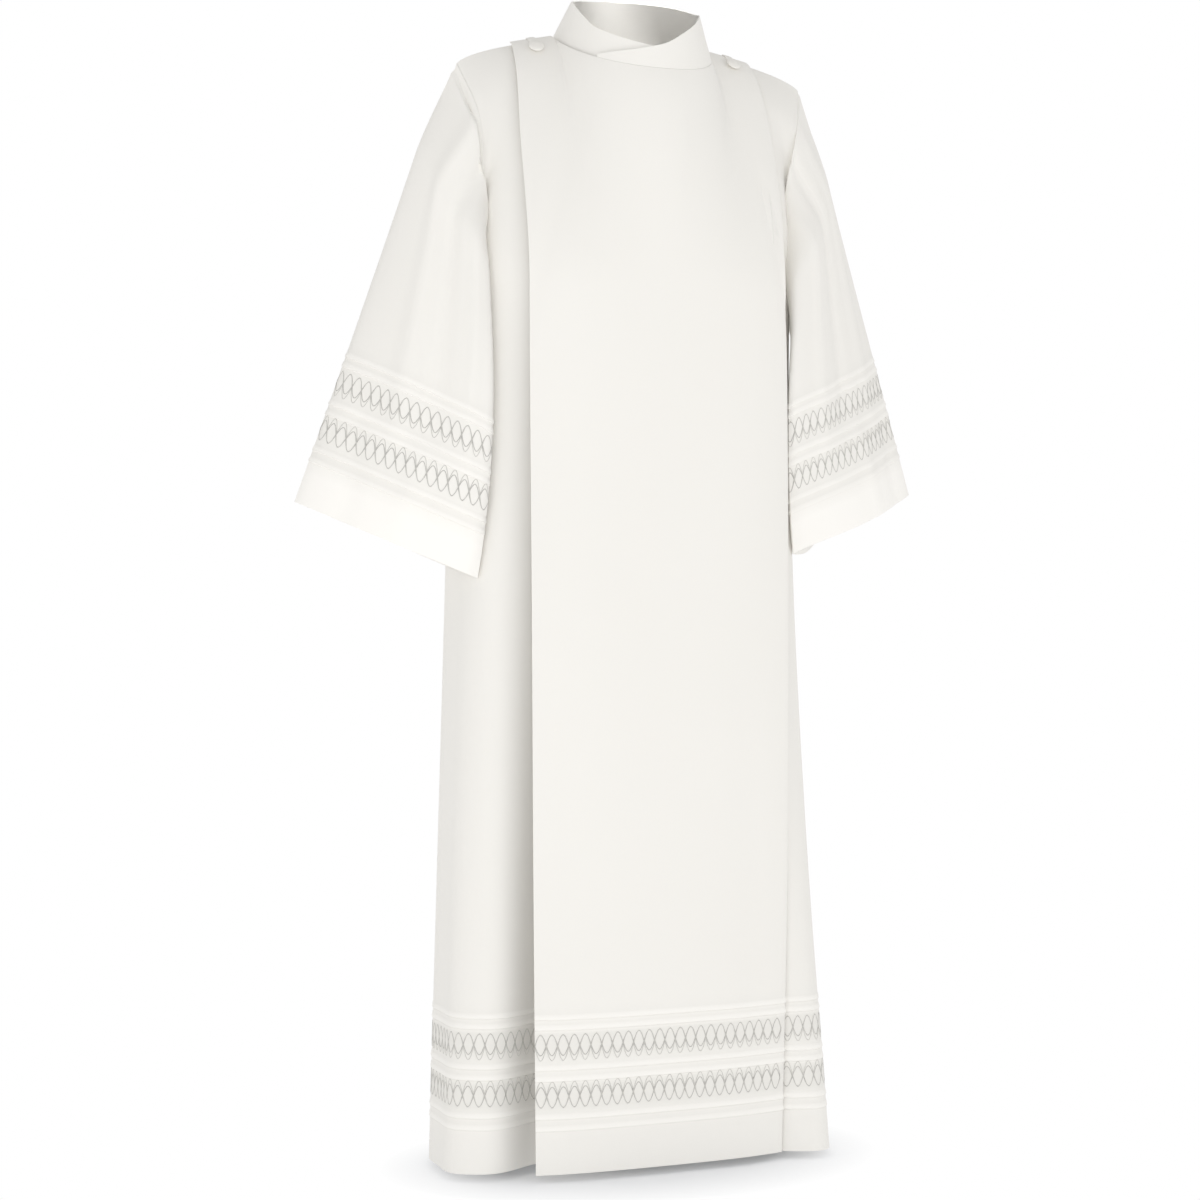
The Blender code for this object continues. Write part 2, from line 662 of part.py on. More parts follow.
def cloth_wall(name, grid, normals, material, closed=False, raised=None, plain=None, thickness=CLOTH):
    """One closed wall round a grid; rows left out of plain are on its outer side only."""
    rows, count = grid.shape[:2]
    plain = list(range(rows)) if plain is None else plain
    rise = np.zeros(rows) if raised is None else raised
    outside = grid + normals * (thickness / 2 + rise[:, None, None])
    inside = (grid - normals * thickness / 2)[plain]
    mesh = bmesh.new()
    outer = [[mesh.verts.new(point) for point in line] for line in outside]
    inner = [[mesh.verts.new(point) for point in line] for line in inside]
    spans = range(count) if closed else range(count - 1)
    for side, turned in ((outer, False), (inner, True)):
        for low, high in zip(side, side[1:]):
            for k in spans:
                n = (k + 1) % count
                face = (low[k], low[n], high[n], high[k])
                mesh.faces.new((face[0], *face[:0:-1]) if turned else face)
    for k in spans:
        n = (k + 1) % count
        mesh.faces.new((inner[0][k], inner[0][n], outer[0][n], outer[0][k]))
        mesh.faces.new((outer[-1][k], outer[-1][n], inner[-1][n], inner[-1][k]))
    if not closed:
        for edge in (0, count - 1):
            for step, (low, high) in enumerate(zip(plain, plain[1:])):
                run = [outer[row][edge] for row in range(low, high + 1)]
                face = run + [inner[step + 1][edge], inner[step][edge]]
                mesh.faces.new(face if edge else face[::-1])
    bmesh.ops.recalc_face_normals(mesh, faces=mesh.faces)
    if mesh.calc_volume(signed=True) < 0:
        bmesh.ops.reverse_faces(mesh, faces=mesh.faces)
    return finish_piece(name, mesh, material)


def finish_piece(name, mesh, material, sharp=40):
    data = bpy.data.meshes.new(name)
    bmesh.ops.translate(mesh, verts=mesh.verts, vec=(0, 0, -GARMENT_LENGTH))
    mesh.to_mesh(data)
    mesh.free()
    data.materials.append(material)
    data.shade_smooth()
    data.set_sharp_from_angle(angle=math.radians(sharp))
    piece = bpy.data.objects.new(name, data)
    bpy.context.scene.collection.objects.link(piece)
    return piece


def material_of(name, colour, roughness):
    material = bpy.data.materials.new(name)
    material.use_nodes = True
    shader = material.node_tree.nodes["Principled BSDF"]
    shader.inputs["Base Color"].default_value = colour
    shader.inputs["Roughness"].default_value = roughness
    shader.inputs["Metallic"].default_value = 0.0
    return material


def tuck_rows(top):
    """Distances from the edge for the rows of the tuck band, and the rise of each."""
    rows = [(0.0, 0.0), (TUCKS[0] / 2, 0.0)]
    for tuck in TUCKS:
        rows += [(tuck - TUCK_DROP, 0.0), (tuck, TUCK_RISE)]
    rows.append((top, 0.0))
    return np.array(rows)


def button(name, side, panel, material):
    """Cloth-covered button: a shallow dome with a rounded rim, lying on the panel."""
    centre, out, across, up = button_seat(panel, side)
    mesh = bmesh.new()
    rings = []
    for radius, depth in BUTTON_PROFILE[1:]:
        if radius == 0:
            rings.append([mesh.verts.new(centre + out * depth * BUTTON_DEPTH)])
            continue
        ring = []
        for k in range(BUTTON_SIDES):
            turn = 2 * math.pi * k / BUTTON_SIDES
            flat = (across * math.cos(turn) + up * math.sin(turn)) * radius * BUTTON_RADIUS
            ring.append(mesh.verts.new(centre + flat + out * depth * BUTTON_DEPTH))
        rings.append(ring)
    for high, low in zip(rings, rings[1:]):
        for k in range(BUTTON_SIDES):
            n = (k + 1) % BUTTON_SIDES
            if len(high) == 1:
                mesh.faces.new((high[0], low[k], low[n]))
            elif len(low) == 1:
                mesh.faces.new((high[k], low[0], high[n]))
            else:
                mesh.faces.new((high[k], low[k], low[n], high[n]))
    bmesh.ops.recalc_face_normals(mesh, faces=mesh.faces)
    return finish_piece(name, mesh, material)


def wall_point(wall, x, row, lift):
    """A point moved out by lift from the outer face of a wall (rows, grid, normals), with its direction."""
    rows, grid, normals = wall
    low = min(int(np.searchsorted(rows, row, side="right")) - 1, len(rows) - 2)
    share = (row - rows[low]) / (rows[low + 1] - rows[low])
    points = grid[low] * (1 - share) + grid[low + 1] * share
    outs = normals[low] * (1 - share) + normals[low + 1] * share
    order = np.argsort(points[:, 0])
    point = np.array([np.interp(x, points[order, 0], points[order, k]) for k in range(3)])
    out = unit(np.array([np.interp(x, points[order, 0], outs[order, k]) for k in range(3)]))
    return point + out * (CLOTH / 2 + lift), out


def button_seat(panel, side):
    """Centre and directions of the plane that a button lies in."""
    centre, out = wall_point(panel, side * BUTTON_X, BUTTON_ROW, 0.0)
    above, _ = wall_point(panel, side * BUTTON_X, BUTTON_ROW + 0.03, 0.0)
    up = unit(above - centre)
    up = unit(up - out * np.dot(up, out))
    return centre + out * BUTTON_SEAT, out, np.cross(up, out), up


def tab(name, side, panel, back, material):
    """Cloth tab from behind the shoulder seam, over it, and down the panel to the button."""
    seat = TAB_CLOTH / 2 + SEAM_GAP
    rows = [(back, row, seat) for row in TAB_BACK_ROWS] + [(panel, row, seat) for row in TAB_FRONT_ROWS]
    grid, normals = [], []
    for wall, row, lift in rows:
        across = [side * BUTTON_X + step * TAB_HALF for step in (-1, 0, 1)]
        found = [wall_point(wall, x, row, lift) for x in across]
        grid.append([point for point, _ in found])
        normals.append([out for _, out in found])
    return cloth_wall(name, np.array(grid), np.array(normals), material, thickness=TAB_CLOTH)


def build():
    for old in list(bpy.data.objects):
        bpy.data.objects.remove(old, do_unlink=True)
    cloth = material_of("cream_cloth", CLOTH_COLOUR, CLOTH_ROUGHNESS)
    covered = material_of("covered_button", BUTTON_COLOUR, BUTTON_ROUGHNESS)

    band = tuck_rows(TUCK_BAND_TOP)
    above = np.append(SKIRT_ROW_HEIGHTS, CHEST_HEIGHT)
    upper = 1 + np.linspace(0, 1, UPPER_ROWS + 1)[1:]
    rows = np.concatenate([band[:, 0] / CHEST_HEIGHT, above / CHEST_HEIGHT, upper])
    rise = np.concatenate([band[:, 1], np.zeros(len(rows) - len(band))])
    plain_band = list(PLAIN_BAND_ROWS) + [len(band) - 1]
    plain = plain_band + list(range(len(band), len(rows)))
    chest = len(rows) - len(upper) - 1

    under, under_out = under_front(rows, UNDER_SIDE_STEPS)
    outer, outer_out = outer_front(rows, STRIP_STEPS)
    back, back_out = back_body(rows, BACK_SIDE_STEPS)
    low = np.append(np.linspace(0, SLEEVE_ROWS_TOP, SLEEVE_ROWS + 1)[1:], SLEEVE_LAST_ROWS)
    near = near_body()
    sleeves = {}
    for name, side, front, front_out, front_edge, back_edge in (
        ("sleeve_right", -1, under, under_out, 0, -1),
        ("sleeve_left", 1, outer, outer_out, -1, 0),
    ):
        armhole = np.concatenate([front[chest:, front_edge][::-1], back[chest:, back_edge][1:-1]])
        grid = sleeve(side, armhole, low, band[:, 0], *near)
        normals = grid_normals(grid, closed=True) * -side
        join_sleeve(normals, (front_out, front_edge), (back_out, back_edge), chest)
        sleeves[name] = grid, normals

    edge = SEAM_GAP / 2
    seamed = pull_in(under, under_out, left=edge, high=edge)
    cloth_wall("front_under", seamed, under_out, cloth, raised=rise, plain=plain)
    for name, columns, left, right in (
        ("front_outer", slice(0, inside_pleat() + 1), 0, edge),
        ("front_side", slice(inside_pleat(), None), edge, edge),
    ):
        points, out = outer[:, columns], outer_out[:, columns]
        seamed = pull_in(points, out, left=left, right=right, high=edge)
        cloth_wall(name, seamed, out, cloth, raised=rise, plain=plain)
    seamed = pull_in(back, back_out, left=edge, right=edge, high=2 * edge)
    cloth_wall("back", seamed, back_out, cloth, raised=rise, plain=plain)
    cuff_plain = plain_band + list(range(len(band), len(band) + len(low)))
    cuff_rise = np.concatenate([band[:, 1], np.zeros(len(low))])
    for name, (grid, normals) in sleeves.items():
        seamed = pull_in(grid, normals, high=SLEEVE_SET_BACK)
        cloth_wall(name, seamed, normals, cloth, closed=True, raised=cuff_rise, plain=cuff_plain)

    band_grid, band_out = collar(COLLAR_ROWS)
    cloth_wall("collar", pull_in(band_grid, band_out, low=2 * edge), band_out, cloth)

    flat = slice(0, panel_columns())
    panel = rows, outer[:, flat], outer_out[:, flat]
    for name, side in (("right", -1), ("left", 1)):
        button("button_" + name, side, panel, covered)
        tab("tab_" + name, side, panel, (rows, back, back_out), cloth)


build()
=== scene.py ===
"""Alb robe: cloth shells, tucks, embroidery, buttons, materials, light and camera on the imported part."""

import math

import bmesh
import bpy
import numpy as np
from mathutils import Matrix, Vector


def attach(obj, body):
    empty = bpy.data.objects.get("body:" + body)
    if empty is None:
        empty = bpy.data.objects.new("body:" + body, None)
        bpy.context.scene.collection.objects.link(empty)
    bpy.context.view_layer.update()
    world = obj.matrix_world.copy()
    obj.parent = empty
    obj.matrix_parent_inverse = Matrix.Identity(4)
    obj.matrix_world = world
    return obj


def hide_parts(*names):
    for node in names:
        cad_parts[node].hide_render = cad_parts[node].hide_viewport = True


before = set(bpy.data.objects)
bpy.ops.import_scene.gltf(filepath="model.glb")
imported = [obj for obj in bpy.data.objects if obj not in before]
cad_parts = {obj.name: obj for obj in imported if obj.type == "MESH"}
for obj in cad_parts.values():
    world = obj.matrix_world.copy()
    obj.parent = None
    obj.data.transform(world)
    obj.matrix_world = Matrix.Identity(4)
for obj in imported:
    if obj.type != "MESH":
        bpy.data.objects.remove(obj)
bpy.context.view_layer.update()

# Overall sizes
GARMENT_LENGTH = 1.46
CHEST_HEIGHT = 1.12
SHOULDER_HALF = 0.2445
TIP_HEIGHT_RIGHT = 1.416
TIP_HEIGHT_LEFT = 1.420
SHOULDER_BOW = 0.007
SHOULDER_SKEW = 0.6
CLOTH = 0.0015
SEAM_GAP = 0.0003
MITRE_LEAST = 0.5

# Neckline, an oval seen from above
NECK_HALF = 0.105
NECK_Y = 0.012
NECK_FRONT_Y = -0.095
NECK_BACK_Y = 0.090
NECK_SIDE_HEIGHT = 1.462
NECK_FRONT_HEIGHT = 1.410
NECK_BACK_HEIGHT = 1.475
NECK_RISE_POWER = 1.1
NECK_TILT_SIDE = 0.85
NECK_TILT_MIDDLE = 0.20
NECK_SHARE = 0.64
NECK_SOFTNESS = 0.07

# Columns and rows of the grids
NECK_STEPS = 24
PANEL_SIDE_STEPS = 14
PLEAT_TURN_STEPS = 7
PLEAT_COLUMNS = 2 * PLEAT_TURN_STEPS + 1
STRIP_STEPS = 34
UNDER_SIDE_STEPS = 30
BACK_SIDE_STEPS = 26
COLLAR_ROWS = 11
UPPER_ROWS = 49
SLEEVE_ROWS = 44
SECTION_SAMPLES = 121
PLACE_SAMPLES = 241
RING_SAMPLES = 61

# Body sections, straight across at each height
FRONT_POWER = 3.0
BACK_POWER = 2.1
SECTIONS = (
    "height side_x side_y front_y back_y",
    (0.00, 0.267, 0.030, -0.100, 0.170),
    (0.36, 0.256, 0.032, -0.111, 0.166),
    (0.73, 0.245, 0.033, -0.116, 0.160),
    (1.12, 0.236, 0.030, -0.113, 0.150),
)

# Armhole edge from the armpit (share 0) up to the shoulder tip (share 1)
ARMHOLE = (
    "share x front_y back_y height",
    (0.00, 0.2360, 0.030, 0.030, 1.120),
    (0.22, 0.2265, -0.010, 0.076, 1.152),
    (0.50, 0.2190, -0.031, 0.094, 1.240),
    (0.78, 0.2265, -0.034, 0.068, 1.345),
    (1.00, 0.2445, 0.000, 0.000, 1.414),
)
ARMHOLE_REACH = 0.60
CHEST_RISE = 0.31
SHOULDER_TURN = 0.15
SHOULDER_LEAN = 20.0
NECK_TURN = 0.20
NECK_LEAN = 72.0
NECK_LEAN_SHARES = (0.54, 0.90)
SEAM_SOFTNESS = 0.15

# Outer front panel: half width, and the spacing of the layers of its knife pleat
PANEL = (
    "height half_width layer",
    (0.00, 0.1704, 0.0040),
    (0.36, 0.1752, 0.0038),
    (0.73, 0.1770, 0.0034),
    (1.12, 0.1778, 0.0028),
    (1.30, 0.1775, 0.0026),
    (1.45, 0.1686, 0.0024),
)
PLEAT_DEPTH = 0.034

# The back's shoulder edge rises on the left to meet the folded panel
BACK_LIFT_PLACES = (0.05, 0.35)
BACK_LIFT_ROWS = (1.8, 2.0)

# How far the under front falls back behind the free edge of the panel
UNDER_FALL = (
    "height depth",
    (0.00, 0.052),
    (0.36, 0.043),
    (0.73, 0.030),
    (1.07, 0.016),
    (1.22, 0.009),
    (1.37, 0.003),
    (1.45, 0.000),
)
UNDER_RIDGE_X = 0.234
UNDER_VALLEY_X = 0.156
UNDER_FLAT_X = 0.030
UNDER_KEPT = 0.35
UNDER_END_STEP = 15

# Soft folds: place is the share of the half section from the side seam to the centre, and the last
# four columns are how far the fold stands out at the hem, the knee, the waist and the chest
FOLD_HEIGHTS = (0.0, 0.36, 0.73, 1.12, 1.38)
FOLDS = (
    "piece side place width hem knee waist chest",
    ("front", -1, 0.20, 0.080, 0.012, 0.008, 0.003, 0.000),
    ("front", 1, 0.355, 0.100, 0.038, 0.004, -0.017, -0.026),
    ("front", 1, 0.160, 0.110, 0.000, -0.010, -0.018, -0.012),
    ("back", -1, 0.30, 0.090, 0.016, 0.008, 0.002, 0.000),
    ("back", -1, 0.72, 0.080, 0.012, 0.008, 0.003, 0.000),
    ("back", 1, 0.34, 0.085, 0.018, 0.009, 0.002, 0.000),
    ("back", 1, 0.80, 0.085, 0.010, 0.007, 0.002, 0.000),
)
PLEAT_CLEAR = 0.012
PLEAT_EDGE = 0.004

# Tucks, measured up from a hem or cuff edge, each a raised line of folded cloth
TUCKS = (0.060, 0.075, 0.123, 0.137, 0.188, 0.201)
TUCK_BAND_TOP = 0.215

# Sleeve edges: start at the armhole, middle, end at the cuff
SLEEVE_EDGES = (
    "side edge x0 y0 h0 x1 y1 h1 x2 y2 h2",
    (-1, "outer", 0.262, 0.002, 1.404, 0.3515, 0.026, 1.129, 0.445, 0.050, 0.851),
    (-1, "front", 0.228, -0.046, 1.240, 0.2225, -0.076, 0.985, 0.236, -0.054, 0.754),
    (-1, "under", 0.240, 0.030, 1.118, 0.264, 0.010, 0.950, 0.250, -0.030, 0.762),
    (1, "outer", 0.258, 0.002, 1.408, 0.3500, 0.026, 1.140, 0.445, 0.050, 0.876),
    (1, "front", 0.226, -0.046, 1.240, 0.1900, -0.085, 0.990, 0.213, -0.051, 0.789),
    (1, "under", 0.240, 0.030, 1.118, 0.262, 0.006, 0.960, 0.243, -0.026, 0.790),
)
SLEEVE_FACING = (0.38, -0.92, 0.0)
SLEEVE_FRONT_SWELL = 0.024
SLEEVE_BACK_SWELL = 0.040
SLEEVE_FRONT_SHARE = 7 / 22
SLEEVE_EASE = 0.20
SLEEVE_LEAVE = 0.006
SLEEVE_LEAVE_RISE = 0.02
SLEEVE_LEAVE_FADE = 0.22
SLEEVE_LEAVE_TURN = (0.04, 0.22)
SLEEVE_CLEAR = 0.0025
SLEEVE_CLEAR_BLUR = 0.013
SLEEVE_CLEAR_FROM = 0.06
SLEEVE_CLEAR_REACH = (0.010, 0.030)

# The part of the body that the sleeves keep clear of
NEAR_FROM = 0.68
NEAR_STEP = 0.015
NEAR_TO_ROW = 1.3
NEAR_UPPER_ROWS = 9
NEAR_SIDE_STEPS = 12

# Collar band: angles are turned from the centre front towards the end's own side
COLLAR_RING = 0.085
COLLAR_RING_X = -0.006
COLLAR_RING_Y = -0.0085
COLLAR_RING_HEIGHT = 1.50
COLLAR_END_STEPS = 12
COLLAR_LIFT_TURNS = (95, 175)
COLLAR_TOP = (
    "turn over under",
    (-45.0, 1.429, 1.424),
    (-10.0, 1.437, 1.434),
    (5.0, 1.4445, 1.440),
    (21.0, 1.460, 1.446),
    (38.0, 1.476, 1.456),
    (52.0, 1.489, 1.467),
    (67.0, 1.498, 1.486),
    (82.0, 1.504, 1.501),
    (116.0, 1.521, 1.516),
    (140.0, 1.528, 1.524),
    (180.0, 1.531, 1.531),
)

# Buttons and the cloth tabs that reach over the shoulder to them
BUTTON_X = 0.141
BUTTON_ROW = 1.88
BUTTON_RADIUS = 0.0100
BUTTON_DEPTH = 0.0045
BUTTON_SEAT = 0.0026
TAB_HALF = 0.0055
TAB_CLOTH = 0.0012
TAB_BACK_ROWS = (1.93, 1.955, 1.98)
TAB_FRONT_ROWS = (2.0, 1.985, 1.965, 1.94, 1.909, 1.875)

# Cloth shells, finer than the solids
GRID_STEP = 0.012
LEAST_STEP = 0.004
SHARP_ANGLE = 55

# Colours: cloth and thread each have a light and a darker tone
CREAM = (0.880, 0.862, 0.822, 1)
CREAM_SHADE = (0.846, 0.826, 0.784, 1)
BUTTON_CREAM = (0.86, 0.842, 0.80, 1)
BUTTON_SHADE = (0.82, 0.80, 0.756, 1)
# Tone colours: the light one paints the highlight along each tuck's fold and whitens the cuffs' plain band;
# the shaded one paints the shadow under each tuck and darkens the cloth under the embroidery
TUCK_HIGHLIGHT_AND_CUFF_WHITE = (0.975, 0.955, 0.915, 1)
SHADED_CLOTH = (0.70, 0.685, 0.645, 1)
THREADS = {
    "dark": ((0.62, 0.61, 0.575, 1), (0.48, 0.47, 0.44, 1)),
    "pale": ((0.70, 0.69, 0.65, 1), (0.59, 0.58, 0.54, 1)),
}
WEAVE_SCALE = 340.0
SLUB_SCALE = 260.0
TONE_SCALE = 3.2
CRUMPLE_SCALE = 26.0
STRAND_SCALE = 900.0

# A tuck seen from the side: distance from its own height, how far the cloth stands out there, and its
# tone, which paints a highlight along the tuck's fold and a shadow just below it (1 is the painted highlight,
# -1 the painted shadow)
TUCK_SHAPE = (
    "at rise tone",
    (-0.0064, 0.0, 0.0),
    (-0.0048, 0.0, -0.35),
    (-0.0042, 0.0012, 0.1),
    (-0.0034, 0.0012, 0.55),
    (-0.0010, 0.0009, 0.55),
    (0.0012, 0.0005, 0.35),
    (0.0030, 0.0, 0.0),
)
# Cloth under the embroidery is made a little darker, and the plain band at each cuff's edge whiter
ROW_TONE = -0.30
ROW_TONE_REACH = (0.014, 0.021)
ROW_TONE_STEPS = np.arange(-4, 5) * 0.0044
PLAIN_ROWS = (0.0, 0.002, 0.02, 0.04, TUCK_BAND_TOP)
CUFF_TONE = 0.75
CUFF_TONE_TOP = (0.050, 0.058)

# Soft creases: where each starts and ends, its half width, and its depth (below 0 is a ridge).
# On the body "a" is the place from -1 (right seam) to 1 (left seam) and "h" the height above the hem; on a
# sleeve "a" is the turn round it from the outer edge over the front, and "h" the share from cuff to armhole.
CREASES = (
    "piece a0 h0 a1 h1 width depth",
    ("front_under", -0.93, 0.02, -0.95, 0.62, 0.030, 0.0040),
    ("front_under", -0.80, 0.05, -0.86, 0.80, 0.026, -0.0030),
    ("front_under", -0.86, 1.13, -0.72, 1.36, 0.020, 0.0030),
    ("front_under", -0.93, 1.05, -0.78, 0.80, 0.022, 0.0024),
    ("front_outer", -0.30, 0.10, -0.24, 0.70, 0.050, 0.0012),
    ("front_outer", 0.22, 0.05, 0.17, 0.62, 0.050, 0.0014),
    ("front_outer", 0.45, 1.02, 0.30, 1.30, 0.040, 0.0022),
    ("front_outer", -0.42, 1.05, -0.20, 1.34, 0.045, 0.0018),
    ("front_outer", 0.80, 0.10, 0.84, 0.70, 0.030, 0.0030),
    ("front_outer", 0.92, 0.05, 0.94, 0.55, 0.022, -0.0022),
    ("back", -0.52, 0.02, -0.40, 0.90, 0.040, 0.0040),
    ("back", 0.05, 0.02, 0.02, 0.95, 0.050, 0.0034),
    ("back", 0.55, 0.02, 0.45, 0.85, 0.042, 0.0042),
    ("back", -0.80, 0.30, -0.60, 1.25, 0.030, 0.0030),
    ("back", 0.80, 0.35, 0.62, 1.22, 0.032, 0.0030),
    ("back", -0.35, 1.00, -0.12, 1.38, 0.040, 0.0024),
    ("back", 0.34, 1.02, 0.14, 1.38, 0.036, 0.0026),
    ("sleeve_right", 0.10, 0.98, 0.14, 0.25, 0.020, -0.0050),
    ("sleeve_right", 0.17, 0.96, 0.21, 0.30, 0.022, 0.0060),
    ("sleeve_right", 0.25, 0.90, 0.27, 0.15, 0.016, -0.0040),
    ("sleeve_right", 0.06, 0.30, 0.09, 0.00, 0.018, 0.0036),
    ("sleeve_right", 0.19, 0.28, 0.18, 0.00, 0.018, -0.0030),
    ("sleeve_right", 0.80, 0.95, 0.76, 0.10, 0.030, 0.0060),
    ("sleeve_right", 0.90, 0.92, 0.88, 0.20, 0.024, -0.0040),
    ("sleeve_left", 0.07, 0.95, 0.09, 0.30, 0.018, -0.0040),
    ("sleeve_left", 0.14, 0.98, 0.17, 0.30, 0.020, 0.0060),
    ("sleeve_left", 0.21, 0.92, 0.23, 0.20, 0.016, -0.0036),
    ("sleeve_left", 0.04, 0.26, 0.06, 0.00, 0.016, 0.0040),
    ("sleeve_left", 0.13, 0.24, 0.12, 0.00, 0.018, -0.0036),
    ("sleeve_left", 0.82, 0.95, 0.77, 0.10, 0.030, 0.0060),
    ("sleeve_left", 0.91, 0.90, 0.88, 0.20, 0.024, -0.0040),
)
CREASE_FADE = 0.22
CREASE_SPANS = (0.36, 0.33, 0.30)
CREASE_SPAN_POWER = 1.6
CREASE_TOP_FADE = (1.75, 2.0)
CREASE_END_STEPS = 5
CREASE_SLEEVE_TOP = (0.90, 1.0)

# The sleeve head rolls over its seam: turn is counted from the shoulder tip, crease is the distance of the
# crease from the seam, rise how far the cloth stands out past it, and lean how far it leans over the body
ROLL = (
    "side turn crease rise lean",
    (-1, 0.00, 0.0060, 0.0030, 0.0000),
    (-1, 0.03, 0.0110, 0.0055, 0.0010),
    (-1, 0.07, 0.0150, 0.0080, 0.0025),
    (-1, 0.11, 0.0170, 0.0095, 0.0035),
    (-1, 0.15, 0.0160, 0.0095, 0.0035),
    (-1, 0.19, 0.0125, 0.0090, 0.0030),
    (-1, 0.24, 0.0075, 0.0080, 0.0015),
    (-1, 0.30, 0.0030, 0.0060, 0.0000),
    (-1, 0.37, 0.0000, 0.0030, 0.0000),
    (-1, 0.44, 0.0000, 0.0000, 0.0000),
    (-1, 0.50, 0.0000, 0.0000, 0.0000),
    (1, 0.00, 0.0030, 0.0020, 0.0000),
    (1, 0.04, 0.0020, 0.0030, 0.0020),
    (1, 0.10, 0.0005, 0.0045, 0.0070),
    (1, 0.16, 0.0000, 0.0055, 0.0110),
    (1, 0.23, 0.0000, 0.0060, 0.0130),
    (1, 0.30, 0.0000, 0.0050, 0.0120),
    (1, 0.37, 0.0000, 0.0030, 0.0070),
    (1, 0.44, 0.0000, 0.0000, 0.0000),
    (1, 0.50, 0.0000, 0.0000, 0.0000),
)
ROLL_EDGE = 0.0055
ROLL_FADE = (0.02, 0.14)
ROLL_BACK_SHARE = 0.5
DIP_DEPTH = 0.30
DIP_HALF = 0.0032
EVEN_STEPS = 3
SEAM_ROWS = 22
SLEEVE_PLAIN_LENGTH = 0.34
SEAM_ROW_STEP = 0.0016

# Embroidery: two rows, each a dark pair of crossing waves and a fainter, larger pair
LOOP_PITCH = 0.0146
LOOPS = (
    "centre swing thread",
    (0.0985, 0.0130, "dark"),
    (0.1015, 0.0165, "pale"),
    (0.1645, 0.0130, "dark"),
    (0.1615, 0.0165, "pale"),
)
LOOP_POINTS = 14
THREAD_HALF = {"dark": 0.00052, "pale": 0.00044}
THREAD_RISE = 0.00035
THREAD_SINK = 0.3
THREAD_LIFT = 0.0001
UNDER_ROW_END = 0.02

# Covered buttons and tabs, finer than the solids. A button's dome follows a circle as far as the rim turn,
# in degrees from its crown, and from there runs in under its rim
BUTTON_RINGS = 22
BUTTON_SIDES = 72
BUTTON_WRAP = 118
BUTTON_RIM_TURN = 104
BUTTON_RIM_HEIGHT = 0.32
BUTTON_GATHERS = 24
BUTTON_GATHER_DEPTH = 0.012
BUTTON_GATHER_SHARES = (0.55, 0.95)
BUTTON_UNDER_FROM = 0.88
BUTTON_UNDER_RADIUS = 0.97
BUTTON_UNDER_SLOPE = 1.6
JOIN_REACH = 0.00001
TAB_STEPS = 7
TAB_ROWS = (8, 16)
TAB_CROWN = 0.0003
TAB_SEAM_ROW = 1.995

# Camera, found from the photo's proportions
CAMERA_DISTANCE = 3.26
CAMERA_TURN = 23.0
CAMERA_HEIGHT = 0.7263 - GARMENT_LENGTH
CAMERA_LENS = 73.83
CAMERA_SHIFT = -0.0267
SENSOR_WIDTH = 36

# Floor, backdrop and lamps; the floor fades to white in an oval, between two distances from its middle
FLOOR_HEIGHT = -GARMENT_LENGTH - 0.010
FLOOR_FADE = (0.19, 0.34)
FLOOR_DEPTH = 1.35
FLOOR_GLOW = 0.17
WORLD_LIGHT = 0.555
FLOOR_COLOUR = (0.78, 0.785, 0.80, 1)
FLOOR_GLOW_COLOUR = (0.95, 0.975, 1.0, 1)
FLOOR_RADIUS = 60.0
FLOOR_SIDES = 96
BACKDROP_AWAY = 4.0
BACKDROP_HALF = 12
LAMPS = (
    "name place aim size power",
    ("key", (-2.6, -3.4, 0.3), (0, 0, -0.7), 2.6, 17.0),
    ("fill", (3.0, -2.8, -0.2), (0, 0, -0.9), 2.4, 18.0),
    ("low", (-2.6, -2.6, -0.9), (0, 0, -1.1), 1.8, 10.0),
    ("front", (-1.42, -3.35, -0.50), (0, 0, -0.75), 0.7, 17.0),
)

# A narrow soft beam into the open neck
NECK_LAMP_PLACE = (-0.20, -0.74, 0.80)
NECK_LAMP_AIM = (0.012, 0.03, 0.03)
NECK_LAMP_ANGLE = 9
NECK_LAMP_POWER = 76.0
NECK_LAMP_RADIUS = 0.02


def column(table, name):
    """One named column of a table, as numbers."""
    place = table[0].split().index(name)
    return np.array([row[place] for row in table[1:]], float)


def smooth(keys, values, at):
    """A smooth curve through the values, read at one or more keys."""
    at = np.clip(np.asarray(at, float), keys[0], keys[-1])
    slopes = np.gradient(values, keys, axis=0)
    left = np.clip(np.searchsorted(keys, at, side="right") - 1, 0, len(keys) - 2)
    span = keys[left + 1] - keys[left]
    t = (at - keys[left]) / span
    if values.ndim > 1:
        t, span = t[..., None], span[..., None]
    rise = t * t * (3 - 2 * t)
    start = t * (1 - t) ** 2 * span
    end = t * t * (1 - t) * span
    return values[left] * (1 - rise) + values[left + 1] * rise + slopes[left] * start - slopes[left + 1] * end


def read(table, name, at):
    """A table's named column, read smoothly along its first column."""
    return smooth(column(table, table[0].split()[0]), column(table, name), at)


def ease(x, low, high):
    """0 below low, 1 above high, and smooth between."""
    t = np.clip((np.asarray(x, float) - low) / (high - low), 0, 1)
    return t * t * (3 - 2 * t)


def unit(vectors):
    return vectors / np.linalg.norm(vectors, axis=-1, keepdims=True)


def along(points, shares):
    """Points at these shares of the length of an open line."""
    steps = np.linalg.norm(np.diff(points, axis=0), axis=1)
    length = np.concatenate([[0.0], np.cumsum(steps)])
    return np.stack([np.interp(np.asarray(shares) * length[-1], length, points[:, k]) for k in range(3)], -1)


